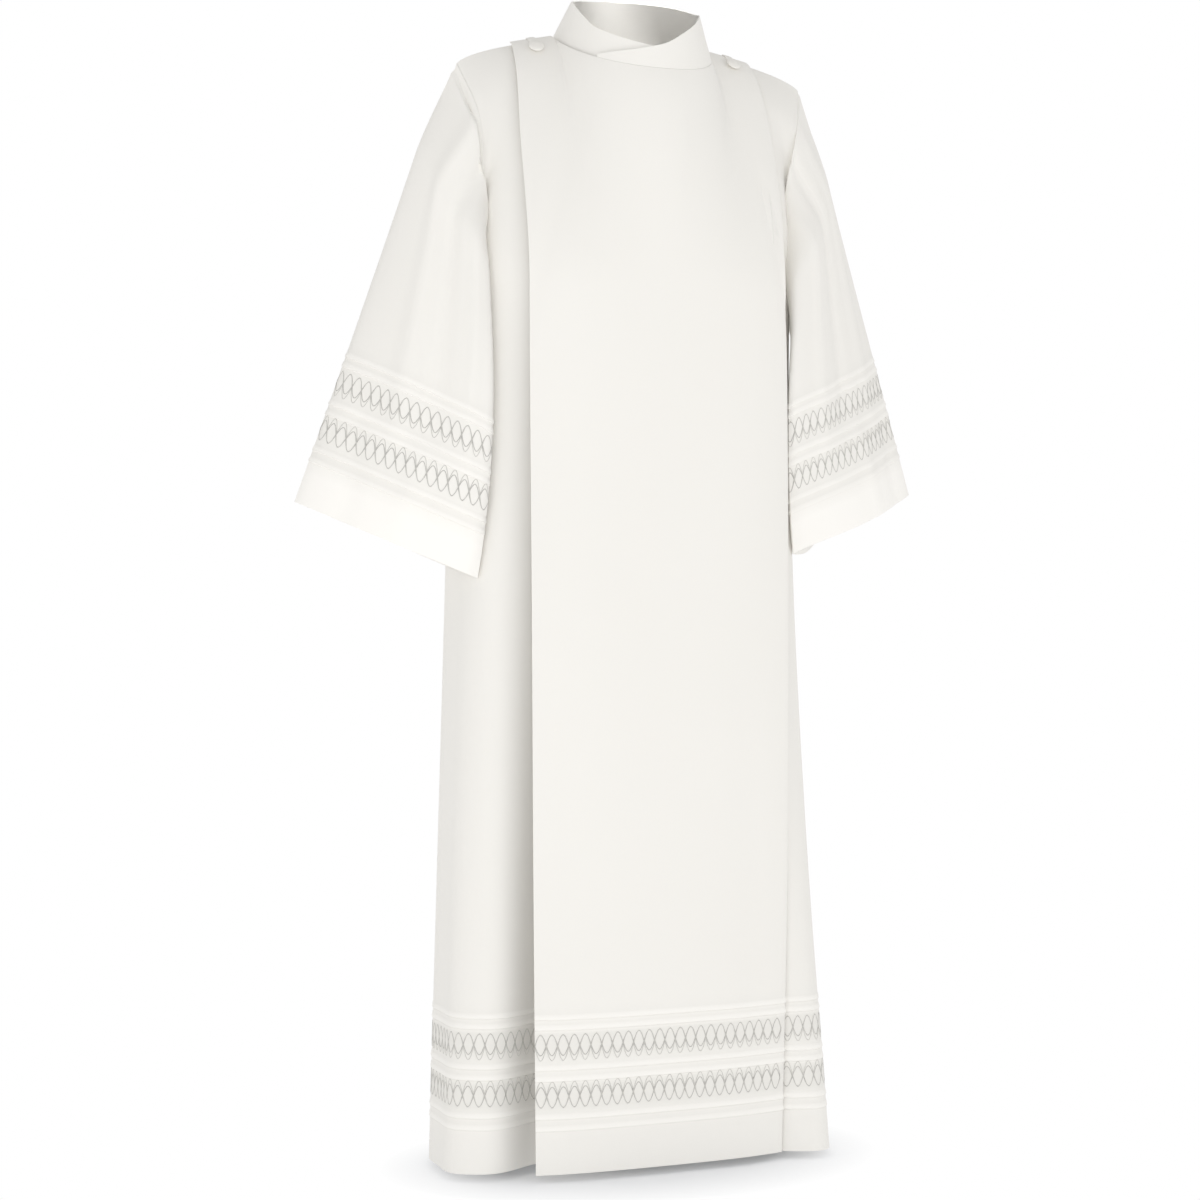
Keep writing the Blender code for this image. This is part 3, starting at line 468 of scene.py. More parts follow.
def half_section(height, back, share):
    """The body's section on the +X side; share 0 is the side seam and 1 the centre."""
    turn = np.linspace(0, math.pi / 2, SECTION_SAMPLES)
    power = 2 / (BACK_POWER if back else FRONT_POWER)
    side_y = read(SECTIONS, "side_y", height)
    end_y = read(SECTIONS, "back_y" if back else "front_y", height)
    line = np.stack([
        read(SECTIONS, "side_x", height) * np.cos(turn) ** power,
        side_y + (end_y - side_y) * np.sin(turn) ** power,
        np.full_like(turn, height),
    ], -1)
    line[-1, 0] = 0.0
    return along(line, share)


def neckline(turn, back):
    """The neckline on the +X side; turn runs from 0 at the shoulder seam to 90 degrees at the centre."""
    depth = np.sin(np.radians(turn))
    end_y = NECK_BACK_Y if back else NECK_FRONT_Y
    if back:
        height = NECK_SIDE_HEIGHT + (NECK_BACK_HEIGHT - NECK_SIDE_HEIGHT) * depth
    else:
        height = NECK_FRONT_HEIGHT + (NECK_SIDE_HEIGHT - NECK_FRONT_HEIGHT) * (1 - depth) ** NECK_RISE_POWER
    return np.stack([NECK_HALF * np.cos(np.radians(turn)), NECK_Y + (end_y - NECK_Y) * depth, height], -1)


def top_edge(share, back, tip_height):
    """Shoulder seam, then neckline, on the +X side."""
    t = np.clip(share / NECK_SHARE, 0, 1)[:, None]
    tip = np.array([SHOULDER_HALF, 0.0, tip_height])
    shoulder = tip + (neckline(0.0, back) - tip) * t
    shoulder[:, 2] += SHOULDER_BOW * np.sin(math.pi * t[:, 0] ** SHOULDER_SKEW)
    neck = neckline(90 * np.clip((share - NECK_SHARE) / (1 - NECK_SHARE), 0, 1), back)
    return np.where(share[:, None] < NECK_SHARE, shoulder, neck)


def bend(start, leave, end, arrive, t):
    """A cubic from start to end with the two end directions given."""
    rise = t * t * (3 - 2 * t)
    return start * (1 - rise) + end * rise + leave * (t * (1 - t) ** 2) - arrive * (t * t * (1 - t))


def armhole_edge(t, back, tip_height):
    line = smooth(
        column(ARMHOLE, "share"),
        np.stack([column(ARMHOLE, name) for name in ("x", "back_y" if back else "front_y", "height")], -1),
        t,
    )
    line[..., 2] += (tip_height - ARMHOLE[-1][-1]) * t
    return line


def half_body(share, row, back, tip_height):
    """The +X half of the body; row 0 is the hem, 1 the chest and 2 the shoulder and neckline."""
    if row <= 1:
        return half_section(row * CHEST_HEIGHT, back, share)
    t = row - 1
    away = -1 if back else 1
    neckward = ease(share, *NECK_LEAN_SHARES)
    lean = np.radians(SHOULDER_LEAN + (NECK_LEAN - SHOULDER_LEAN) * neckward)
    turn = SHOULDER_TURN + (NECK_TURN - SHOULDER_TURN) * neckward
    arrive = np.stack([np.zeros_like(share), away * np.cos(lean) * turn, np.sin(lean) * turn], -1)
    leave = np.array([0.0, 0.0, CHEST_RISE])
    start = half_section(CHEST_HEIGHT, back, share)
    exact = top_edge(share, back, tip_height)
    spread = [top_edge(np.abs(share + by), back, tip_height) for by in NECK_SOFTNESS * np.linspace(-1, 1, 5)]
    middle = share > 1 - NECK_SOFTNESS
    soft = np.where(middle[:, None], exact, np.mean(spread, axis=0))
    blend = ease(share, 0.0, SEAM_SOFTNESS)[:, None] * (1 - t**3)
    points = bend(start, leave, exact + (soft - exact) * blend, arrive, t)
    tip_lean = math.radians(SHOULDER_LEAN)
    tip_arrive = np.array([0.0, away * math.cos(tip_lean), math.sin(tip_lean)]) * SHOULDER_TURN
    armpit = half_section(CHEST_HEIGHT, back, np.zeros(1))[0]
    side = bend(armpit, leave, np.array([SHOULDER_HALF, 0.0, tip_height]), tip_arrive, t)
    pull = np.clip(1 - share / ARMHOLE_REACH, 0, 1) ** 2
    return points + pull[:, None] * (armhole_edge(np.array(t), back, tip_height) - side)


def body(place, row, back):
    """The whole front or back; place runs from -1 at the right side seam to 1 at the left one."""
    place = np.asarray(place, float)
    points = np.empty(place.shape + (3,))
    for side, tip_height in ((-1, TIP_HEIGHT_RIGHT), (1, TIP_HEIGHT_LEFT)):
        here = place * side >= 0 if side > 0 else place < 0
        if here.any():
            half = half_body(1 - np.abs(place[here]), row, back, tip_height)
            half[:, 0] *= side
            points[here] = half
    return points


def body_across(place, row, back, step=0.004):
    """Directions along the body towards the wearer's left."""
    low, high = np.clip(place - step, -1, 1), np.clip(place + step, -1, 1)
    return unit(body(high, row, back) - body(low, row, back))


def body_normals(place, row, back, step=0.004):
    """Outward directions; on the top edge they are shared with the piece sewn on there."""
    place = np.asarray(place, float)
    up = body(place, min(row + step, 2.0), back) - body(place, max(row - step, 0.0), back)
    normals = unit(np.cross(body_across(place, row, back), up)) * (-1 if back else 1)
    if row >= 2:
        share = 1 - np.abs(place)
        slope = (NECK_SIDE_HEIGHT - TIP_HEIGHT_LEFT) / (SHOULDER_HALF - NECK_HALF)
        shoulder = unit(np.stack([np.sign(place) * slope, np.zeros_like(place), np.ones_like(place)], -1))
        turn = np.radians(90 * np.clip((share - NECK_SHARE) / (1 - NECK_SHARE), 0, 1))
        normals = np.where(share[:, None] < NECK_SHARE, shoulder, neck_direction(turn, np.sign(place), back))
    return normals


def neck_direction(turn, side, back):
    """Away from the neck at the neckline, leaning up most at the shoulder seam."""
    out = np.stack([side * np.cos(turn), (1 if back else -1) * np.sin(turn), 0 * turn], -1)
    tilt = NECK_TILT_SIDE + (NECK_TILT_MIDDLE - NECK_TILT_SIDE) * np.sin(turn)
    return unit(out + np.array([0, 0, 1.0]) * tilt[..., None])


def fold_depth(piece, place, height):
    """How far the soft folds of a piece stand out from its section."""
    total = np.zeros_like(height)
    for name, side, centre, width, *depths in FOLDS[1:]:
        if name == piece:
            share = 1 - np.abs(place)
            here = np.exp(-(((share - centre) / width) ** 2)) * (place * side > 0)
            total += here * smooth(np.array(FOLD_HEIGHTS), np.array(depths + [0.0]), height)
    return total


def neck_shares():
    """Shares of the half section that end on evenly turned points of the neckline."""
    return NECK_SHARE + (1 - NECK_SHARE) * np.arange(NECK_STEPS + 1) / NECK_STEPS


def front_row(row):
    """Half the panel's width on this row, its layer spacing, and the place across the front of any x."""
    height = min(row, 1.0) * CHEST_HEIGHT + max(row - 1, 0.0) * (PANEL[-1][0] - CHEST_HEIGHT)
    half = float(read(PANEL, "half_width", height))
    layer = float(read(PANEL, "layer", height))
    places = np.linspace(-1, 1, PLACE_SAMPLES)
    known = body(places, row, False)[:, 0]
    return half, layer, lambda x: np.interp(x, known, places)


def panel_columns():
    """Columns of the flat panel, before those of its pleat."""
    return 2 * (PANEL_SIDE_STEPS + NECK_STEPS)


def inside_pleat():
    """The hidden column half way into the pleat, where the left front is parted."""
    return panel_columns() + PLEAT_TURN_STEPS


def outer_front(rows, strip_count):
    """Panel, knife pleat and left side strip, as one grid from the free edge to the left side seam."""
    grid, normals = [], []
    turn = np.linspace(0, math.pi, PLEAT_TURN_STEPS)
    flat = np.ones(panel_columns())
    faces_out = np.concatenate([flat, np.cos(turn), [-1], -np.cos(turn), [1]])
    faces_left = np.concatenate([0 * flat, np.sin(turn), [0], np.sin(turn), [0]])
    for row in rows:
        half, layer, place_of = front_row(row)
        radius = layer / 2
        inner = half - PLEAT_DEPTH
        neck = NECK_HALF * np.cos(math.pi / 2 * np.arange(NECK_STEPS + 1) / NECK_STEPS)
        side_x = np.linspace(half, NECK_HALF, PANEL_SIDE_STEPS + 1)
        x = np.concatenate([
            -side_x[:-1],
            -neck[:-1],
            neck[::-1],
            side_x[::-1][1:-1],
            half + radius * np.sin(turn),
            [half - PLEAT_DEPTH / 2],
            inner - radius * np.sin(turn),
            [half + PLEAT_EDGE],
        ])
        offset = np.concatenate([
            flat * 2 * layer,
            3 * radius + radius * np.cos(turn),
            [layer],
            radius + radius * np.cos(turn),
            [0],
        ])
        place = place_of(x)
        strip = np.linspace(place[-1], 1, strip_count)[1:]
        place = np.concatenate([place, strip])
        points = body(place, row, False)
        out = body_normals(place, row, False)
        left = body_across(place, row, False)
        bulge = fold_depth("front", place, points[:, 2]) * ease(points[:, 0], half, half + PLEAT_CLEAR)
        bulge[: len(x)] = 0
        offset = np.concatenate([offset, np.zeros(len(strip))]) + bulge
        outward = np.concatenate([faces_out, np.ones(len(strip))])
        leftward = np.concatenate([faces_left, np.zeros(len(strip))])
        grid.append(points + out * offset[:, None])
        normals.append(unit(out * outward[:, None] + left * leftward[:, None]))
    return np.array(grid), np.array(normals)


def grid_normals(grid, closed=False):
    """Directions square to a grid whose rows run up and whose columns run round to the wearer's left."""
    if closed:
        across = np.roll(grid, -1, axis=1) - np.roll(grid, 1, axis=1)
    else:
        across = np.gradient(grid, axis=1)
    up = np.gradient(grid, axis=0)
    return unit(np.cross(across, up))


def under_front(rows, side_count):
    """Wearer's right front, from the right side seam to its end behind the panel."""
    shares = neck_shares()
    place = np.concatenate([
        np.linspace(-1, -(1 - NECK_SHARE), side_count)[:-1],
        shares[:-1] - 1,
        (1 - shares)[::-1][: UNDER_END_STEP + 1],
    ])
    grid, normals = [], []
    for row in rows:
        points = body(place, row, False)
        out = body_normals(place, row, False)
        height = points[:, 2]
        x = points[:, 0]
        fall = ease(x, -UNDER_RIDGE_X, -UNDER_VALLEY_X)
        fall = fall * (1 - (1 - UNDER_KEPT) * ease(x, -UNDER_VALLEY_X, -UNDER_FLAT_X))
        offset = fold_depth("front", place, height) - fall * read(UNDER_FALL, "depth", height)
        grid.append(points + out * offset[:, None])
        normals.append(out)
    return np.array(grid), np.array(normals)


def back_body(rows, side_count):
    """Whole back, from the left side seam round to the right one."""
    shares = neck_shares()
    side = np.linspace(1, 1 - NECK_SHARE, side_count)[:-1]
    place = np.concatenate([side, (1 - shares)[:-1], (shares - 1)[::-1], -side[::-1]])
    grid, normals = [], []
    for row in rows:
        points = body(place, row, True)
        out = body_normals(place, row, True)
        half, layer, _ = front_row(row)
        lift = 2 * layer * (1 - ease(points[:, 0], half - PLEAT_DEPTH, half)) * ease(place, *BACK_LIFT_PLACES)
        offset = fold_depth("back", place, points[:, 2]) + lift * ease(row, *BACK_LIFT_ROWS)
        grid.append(points + out * offset[:, None])
        normals.append(out)
    return np.array(grid), np.array(normals)


def sleeve_edge(side, name, t):
    row = next(row for row in SLEEVE_EDGES[1:] if row[:2] == (side, name))
    start, middle, end = (np.array(row[k : k + 3]) for k in (2, 5, 8))
    control = 2 * middle - (start + end) / 2
    return start * (1 - t) ** 2 + 2 * control * t * (1 - t) + end * t * t


def closed_curve(knots, counts):
    """A smooth loop through five knots, as evenly spaced points from knot 0 to 2, 2 to 3 and 3 to 0."""
    loop = np.concatenate([knots[-2:], knots, knots[:3]])
    steps = np.linalg.norm(np.diff(loop, axis=0), axis=1) ** 0.5
    keys = np.concatenate([[0.0], np.cumsum(steps)])
    points = []
    for first, last, count in zip((2, 4, 5), (4, 5, 7), counts):
        line = smooth(keys, loop, np.linspace(keys[first], keys[last], RING_SAMPLES))
        points.append(along(line, np.linspace(0, 1, count + 1))[:-1])
    return np.concatenate(points)


def sleeve_ring(side, t, count):
    """One ring of a sleeve, on the +X side; t is 0 at the armhole and 1 at the cuff."""
    outer, front, under = (sleeve_edge(side, name, t) for name in ("outer", "front", "under"))
    forward = unit(np.array(SLEEVE_FACING))
    front_middle = (outer + front) / 2 + forward * SLEEVE_FRONT_SWELL
    back_middle = (outer + under) / 2 - forward * SLEEVE_BACK_SWELL
    to_front = round(count * SLEEVE_FRONT_SHARE)
    counts = to_front, count // 2 - to_front, count - count // 2
    return closed_curve(np.array([outer, front_middle, front, under, back_middle]), counts)


def keep_clear(points, body_points, body_out, clear):
    """Moves points out until each is its own clear distance away from the body."""
    reach = points[:, None] - body_points[None]
    far = (reach**2).sum(-1)
    weight = np.exp((far.min(1, keepdims=True) - far) / (2 * SLEEVE_CLEAR_BLUR**2))
    weight /= weight.sum(1, keepdims=True)
    out = unit((weight[..., None] * body_out[None]).sum(1))
    away = (weight * (reach * body_out[None]).sum(-1)).sum(1)
    short = clear - away
    push = (short + np.sqrt(short**2 + (clear / 2) ** 2)) / 2
    push *= 1 - ease(np.sqrt(far.min(1)), *SLEEVE_CLEAR_REACH)
    return points + out * push[:, None]


def sleeve(side, armhole, plain_rows, cuff_rows, body_points, body_out):
    """Sleeve grid: rings from the cuff up to the armhole loop, tip first and then down the front."""
    count = len(armhole)
    shares = np.linspace(0, 1, RING_SAMPLES)
    rings = np.array([sleeve_ring(side, t, count) for t in shares]) * np.array([side, 1, 1])
    rest = (1 - ease(shares, 0, SLEEVE_EASE))[:, None, None]
    leave = (1 - np.exp(-shares / SLEEVE_LEAVE_RISE)) * np.exp(-((shares / SLEEVE_LEAVE_FADE) ** 2))
    turn = np.arange(count) / count
    lower = ease(np.minimum(turn, 1 - turn), *SLEEVE_LEAVE_TURN)
    outward = np.array([side, 0, 0]) * SLEEVE_LEAVE * (leave[:, None] * lower[None])[..., None]
    rings = rings + rest * (armhole - rings[0]) + outward
    for k, share in enumerate(shares[1:], 1):
        clear = np.full(count, SLEEVE_CLEAR * float(ease(share, 0, SLEEVE_CLEAR_FROM)))
        rings[k] = keep_clear(rings[k], body_points, body_out, clear)
    rings = rings[::-1]
    columns = []
    for k in range(count):
        line = rings[:, k]
        length = np.linalg.norm(np.diff(line, axis=0), axis=1).sum()
        low = np.array(cuff_rows) / length
        high = low[-1] + (1 - low[-1]) * np.array(plain_rows)
        columns.append(along(line, np.concatenate([low, high])))
    return np.stack(columns, 1)


def collar(rows):
    """Collar band from its end over the front, round the wearer's left and the back, to its end under it."""
    step = 90 / NECK_STEPS
    turns = np.arange(-COLLAR_END_STEPS, 4 * NECK_STEPS + COLLAR_END_STEPS + 1) * step
    layer = front_row(2.0)[1]
    base, out, reach = [], [], []
    for turn in turns:
        side = 1.0 if math.sin(math.radians(turn)) >= 0 else -1.0
        fold = min(turn % 360, 360 - turn % 360)
        oval = abs(90 - fold)
        away = neck_direction(np.array(math.radians(oval)), side, fold > 90)
        lift = 2 * layer * (1 - float(ease(turn, *COLLAR_LIFT_TURNS)))
        foot = neckline(float(oval), fold > 90) * np.array([side, 1, 1]) + away * lift
        flat = np.array([math.sin(math.radians(turn)), -math.cos(math.radians(turn)), 0.0])
        ring = np.array([COLLAR_RING_X, COLLAR_RING_Y, COLLAR_RING_HEIGHT]) + flat * (COLLAR_RING + lift)
        own, end = (turn, "over") if turn <= 180 else (360 - turn, "under")
        top = float(read(COLLAR_TOP, end, own))
        base.append(foot)
        out.append(away)
        reach.append((ring - foot) * (top - foot[2]) / (ring[2] - foot[2]))
    grid = np.array([np.array(base) + np.array(reach) * share for share in np.linspace(0, 1, rows)])
    normals = grid_normals(grid)
    normals[0] = np.array(out)
    return grid, normals


def join_normals(seam):
    """One shared direction where walls meet at a seam, lengthened so that each keeps its thickness."""
    shared = unit(sum(normals[index] for normals, index in seam))
    for normals, index in seam:
        normals[index] = shared / max(float(np.dot(shared, normals[index])), MITRE_LEAST)


def near_body():
    """Points and directions of the body beside the sleeves."""
    rows = np.concatenate([
        np.arange(NEAR_FROM, CHEST_HEIGHT, NEAR_STEP) / CHEST_HEIGHT,
        np.linspace(1, NEAR_TO_ROW, NEAR_UPPER_ROWS),
    ])
    strip, strip_out = outer_front(rows, NEAR_SIDE_STEPS)
    hidden = panel_columns() + PLEAT_COLUMNS
    near = [(strip[:, hidden:], strip_out[:, hidden:])]
    near += [under_front(rows, NEAR_SIDE_STEPS), back_body(rows, NEAR_SIDE_STEPS)]
    return [np.concatenate([pair[k].reshape(-1, 3) for pair in near]) for k in (0, 1)]


def join_sleeve(normals, front, back, chest):
    """Shares directions along the side seam and the armhole; front and back are (directions, edge column)."""
    (front_out, front_edge), (back_out, back_edge) = front, back
    last = len(front_out) - 1
    for row in range(last + 1):
        seam = [(front_out, (row, front_edge)), (back_out, (row, back_edge))]
        if row in (chest, last):
            seam.append((normals, (-1, (last - row) % normals.shape[1])))
        if row <= chest or row == last:
            join_normals(seam)
        else:
            join_normals([seam[0], (normals, (-1, last - row))])
            join_normals([seam[1], (normals, (-1, last - chest + row - chest))])


def pull_in(grid, normals, left=0.0, right=0.0, low=0.0, high=0.0):
    """Moves the edges of a grid in along it, to leave a seam's gap, wider where it is a sharp crease."""
    grid = grid.copy()
    for edge, inner, by in ((0, 1, left), (-1, -2, right)):
        crease = (normals[:, edge] ** 2).sum(-1, keepdims=True)
        grid[:, edge] += unit(grid[:, inner] - grid[:, edge]) * by * crease
    for edge, inner, by in ((0, 1, low), (-1, -2, high)):
        crease = (normals[edge] ** 2).sum(-1, keepdims=True)
        grid[edge] += unit(grid[inner] - grid[edge]) * by * crease
    return grid


def wall_point(wall, x, row, lift):
    """A point moved out by lift from the outer face of a wall (rows, grid, normals), with its direction."""
    rows, grid, normals = wall
    low = min(int(np.searchsorted(rows, row, side="right")) - 1, len(rows) - 2)
    share = (row - rows[low]) / (rows[low + 1] - rows[low])
    points = grid[low] * (1 - share) + grid[low + 1] * share
    outs = normals[low] * (1 - share) + normals[low + 1] * share
    order = np.argsort(points[:, 0])
    point = np.array([np.interp(x, points[order, 0], points[order, k]) for k in range(3)])
    out = unit(np.array([np.interp(x, points[order, 0], outs[order, k]) for k in range(3)]))
    return point + out * (CLOTH / 2 + lift), out


def button_seat(panel, side):
    """Centre and directions of the plane that a button lies in."""
    centre, out = wall_point(panel, side * BUTTON_X, BUTTON_ROW, 0.0)
    above, _ = wall_point(panel, side * BUTTON_X, BUTTON_ROW + 0.03, 0.0)
    up = unit(above - centre)
    up = unit(up - out * np.dot(up, out))
    return centre + out * BUTTON_SEAT, out, np.cross(up, out), up


class Value:
    """A shader socket that takes part in arithmetic."""

    def __init__(self, net, socket):
        self.net = net
        self.socket = socket

    def combine(self, kind, other, turned=False, clamp=False):
        node = self.net.tree.nodes.new("ShaderNodeMath")
        node.operation = kind
        node.use_clamp = clamp
        pair = (other, self) if turned else (self, other)
        for place, item in zip(node.inputs, pair):
            self.net.feed(place, item)
        return Value(self.net, node.outputs[0])

    def __add__(self, other):
        return self.combine("ADD", other)

    def __radd__(self, other):
        return self.combine("ADD", other, turned=True)

    def __sub__(self, other):
        return self.combine("SUBTRACT", other)

    def __rsub__(self, other):
        return self.combine("SUBTRACT", other, turned=True)

    def __mul__(self, other):
        return self.combine("MULTIPLY", other)

    def __rmul__(self, other):
        return self.combine("MULTIPLY", other, turned=True)

    def __truediv__(self, other):
        return self.combine("DIVIDE", other)

    def __rtruediv__(self, other):
        return self.combine("DIVIDE", other, turned=True)

    def power(self, other):
        return self.combine("POWER", other)

    def clamped(self):
        return self.combine("ADD", 0.0, clamp=True)


class Net:
    """The node tree of one material."""

    def __init__(self, name):
        self.material = bpy.data.materials.new(name)
        self.material.use_nodes = True
        self.tree = self.material.node_tree
        self.shader = self.tree.nodes["Principled BSDF"]

    def feed(self, place, item):
        if isinstance(item, Value):
            self.tree.links.new(item.socket, place)
        elif hasattr(item, "links"):
            self.tree.links.new(item, place)
        else:
            place.default_value = item

    def node(self, kind, settings=None, **inputs):
        """Any node, by type, settings and the values or links of its named inputs."""
        node = self.tree.nodes.new(kind)
        for name, value in (settings or {}).items():
            setattr(node, name, value)
        for name, item in inputs.items():
            self.feed(node.inputs[name.replace("_", " ")], item)
        return node

    def mix(self, share, first, second):
        node = self.tree.nodes.new("ShaderNodeMix")
        node.data_type = "RGBA"
        for place, item in zip((0, 6, 7), (share, first, second)):
            self.feed(node.inputs[place], item)
        return node.outputs[2]

    def noise(self, vector, scale, detail=2.0):
        node = self.node("ShaderNodeTexNoise", Vector=vector, Scale=scale, Detail=detail)
        return Value(self, node.outputs["Fac"])

    def finish(self, colour, roughness, height=None, distance=0.0002, strength=0.5, **fixed):
        self.feed(self.shader.inputs["Base Color"], colour)
        self.feed(self.shader.inputs["Roughness"], roughness)
        for name, value in fixed.items():
            self.shader.inputs[name.replace("_", " ")].default_value = value
        if height is not None:
            bump = self.node("ShaderNodeBump", Height=height, Strength=strength, Distance=distance)
            self.tree.links.new(bump.outputs["Normal"], self.shader.inputs["Normal"])
        return self.material


def cloth_material(name, light, shade):
    """Smooth plain weave: fine warp and weft, slight slubs, and a faint change of tone over the piece."""
    net = Net(name)
    uv = net.node("ShaderNodeUVMap", {"uv_map": "cut"}).outputs["UV"]
    space = net.node("ShaderNodeTexCoord").outputs["Object"]
    weave = []
    for direction in ("X", "Y"):
        wave = net.node(
            "ShaderNodeTexWave", {"wave_type": "BANDS", "bands_direction": direction},
            Vector=uv, Scale=WEAVE_SCALE, Distortion=0.6, Detail=1.0,
        )
        weave.append(Value(net, wave.outputs["Fac"]))
    slub = net.noise(uv, SLUB_SCALE, 3.0)
    height = weave[0] * 0.5 + weave[1] * 0.5 + slub * 0.5 + net.noise(space, CRUMPLE_SCALE, 3.0) * 1.2
    colour = net.mix((slub * 0.35 + net.noise(space, TONE_SCALE) * 0.65).clamped(), shade, light)
    # The tone attribute paints a highlight along each tuck's fold and a shadow under it, whitens the cuffs'
    # plain band and darkens the cloth under the embroidery
    tone = Value(net, net.node("ShaderNodeAttribute", {"attribute_name": "tone"}).outputs["Fac"])
    colour = net.mix(tone.clamped(), colour, TUCK_HIGHLIGHT_AND_CUFF_WHITE)
    colour = net.mix((0 - tone).clamped(), colour, SHADED_CLOTH)
    return net.finish(
        colour, 0.80 + slub * 0.12, height, distance=0.00016, strength=0.35,
        Sheen_Weight=0.12, Sheen_Roughness=0.5, Specular_IOR_Level=0.25,
    )


def thread_material(name, light, shade):
    net = Net(name)
    strand = net.noise(net.node("ShaderNodeTexCoord").outputs["Object"], STRAND_SCALE)
    return net.finish(
        net.mix(strand, shade, light), 0.38 + strand * 0.2, strand, distance=0.0001, strength=0.4,
        Sheen_Weight=0.2, Specular_IOR_Level=0.6,
    )


def crease_depth(piece, across, up):
    """How far the listed creases press a piece in at each point."""
    depth = np.zeros(np.broadcast(across, up).shape)
    for name, a0, h0, a1, h1, width, amount in CREASES[1:]:
        if name != piece:
            continue
        t = np.clip((up - h0) / (h1 - h0), -CREASE_FADE, 1 + CREASE_FADE)
        off = across - a0 - (a1 - a0) * t
        if piece.startswith("sleeve"):
            off = (off + 0.5) % 1.0 - 0.5
        fade = ease(t, -CREASE_FADE, CREASE_FADE) * (1 - ease(t, 1 - CREASE_FADE, 1 + CREASE_FADE))
        depth = depth + amount * fade * np.exp(-((off / width) ** 2))
    return depth


def roll_over(side, grid, normals):
    """The sleeve's cloth dips beside the armhole seam and then stands out and leans over it."""
    steps = np.linalg.norm(np.diff(grid[::-1], axis=0), axis=2)
    away = np.concatenate([np.zeros((1, grid.shape[1])), np.cumsum(steps, axis=0)])[::-1]
    turn = np.arange(grid.shape[1]) / grid.shape[1]
    share = np.where(turn > 0.5, ROLL_BACK_SHARE, 1.0)
    table = ("turn crease rise lean", *(row[1:] for row in ROLL[1:] if row[0] == side))
    crease, rise, lean = (read(table, name, np.minimum(turn, 1 - turn)) for name in ("crease", "rise", "lean"))
    past = away - crease
    bump = ease(past, 0, ROLL_EDGE) * (1 - ease(past, *ROLL_FADE))
    dip = DIP_DEPTH * np.exp(-((past / DIP_HALF) ** 2)) * ease(away, 0, DIP_HALF)
    shift = normals * (rise * share * (bump - dip))[..., None]
    shift = shift + np.array([-side, 0, 0]) * (lean * share * bump)[..., None]
    nearer = {step: EVEN_STEPS + 1 - abs(step) for step in range(-EVEN_STEPS, EVEN_STEPS + 1)}
    evened = sum(np.roll(shift, step, axis=1) * weight for step, weight in nearer.items())
    return grid + evened / sum(nearer.values())


def mesh_of(name, points, faces, material, corners=None):
    """A smooth object from points, faces and the texture coordinates of the faces' corners."""
    data = bpy.data.meshes.new(name)
    data.from_pydata([tuple(point) for point in points], [], faces)
    data.materials.append(material)
    if corners is not None:
        layer = data.uv_layers.new(name="cut")
        layer.data.foreach_set("uv", np.array(corners, np.float32).ravel())
    data.shade_smooth()
    piece = bpy.data.objects.new(name, data)
    bpy.context.scene.collection.objects.link(piece)
    return piece


def shell(name, grid, normals, material, closed=False, raised=None, tone=None, thickness=CLOTH):
    """A thin closed wall round a grid, with its cut laid out as texture coordinates."""
    rows, count = grid.shape[:2]
    raised = np.zeros(rows) if raised is None else raised
    outside = grid + normals * (thickness / 2 + raised[:, None, None])
    inside = grid - normals * thickness / 2
    points = np.concatenate([outside.reshape(-1, 3), inside.reshape(-1, 3)])
    points[:, 2] -= GARMENT_LENGTH
    around = np.concatenate([grid, grid[:, :1]], 1) if closed else grid
    across = np.linalg.norm(np.diff(around, axis=1), axis=2).mean(0)
    across = np.concatenate([[0.0], np.cumsum(across)])
    upward = np.linalg.norm(np.diff(grid, axis=0), axis=2).mean(1)
    upward = np.concatenate([[0.0], np.cumsum(upward)])
    half = rows * count
    spans = count if closed else count - 1

    def at(row, k, side):
        return side * half + row * count + k % count

    faces, corners = [], []

    def add(*places):
        faces.append(tuple(at(row, k, side) for row, k, side in places))
        corners.extend((across[min(k, len(across) - 1)], upward[row]) for row, k, _ in places)

    for row in range(rows - 1):
        for k in range(spans):
            add((row, k, 0), (row, k + 1, 0), (row + 1, k + 1, 0), (row + 1, k, 0))
            add((row, k, 1), (row + 1, k, 1), (row + 1, k + 1, 1), (row, k + 1, 1))
    for k in range(spans):
        add((0, k, 1), (0, k + 1, 1), (0, k + 1, 0), (0, k, 0))
        add((rows - 1, k, 0), (rows - 1, k + 1, 0), (rows - 1, k + 1, 1), (rows - 1, k, 1))
    if not closed:
        for row in range(rows - 1):
            add((row, 0, 0), (row + 1, 0, 0), (row + 1, 0, 1), (row, 0, 1))
            last = count - 1
            add((row, last, 1), (row + 1, last, 1), (row + 1, last, 0), (row, last, 0))
    piece = mesh_of(name, points, faces, material, corners)
    mesh = bmesh.new()
    mesh.from_mesh(piece.data)
    if mesh.calc_volume(signed=True) < 0:
        bmesh.ops.reverse_faces(mesh, faces=mesh.faces)
        mesh.to_mesh(piece.data)
    mesh.free()
    piece.data.set_sharp_from_angle(angle=math.radians(SHARP_ANGLE))
    # Per-row tone, which holds the tucks' painted highlights and shadows for the cloth material
    shade = piece.data.attributes.new("tone", "FLOAT", "POINT")
    by_row = np.zeros(rows) if tone is None else tone
    shade.data.foreach_set("value", np.tile(np.repeat(by_row, count), 2).astype(np.float32))
    return piece


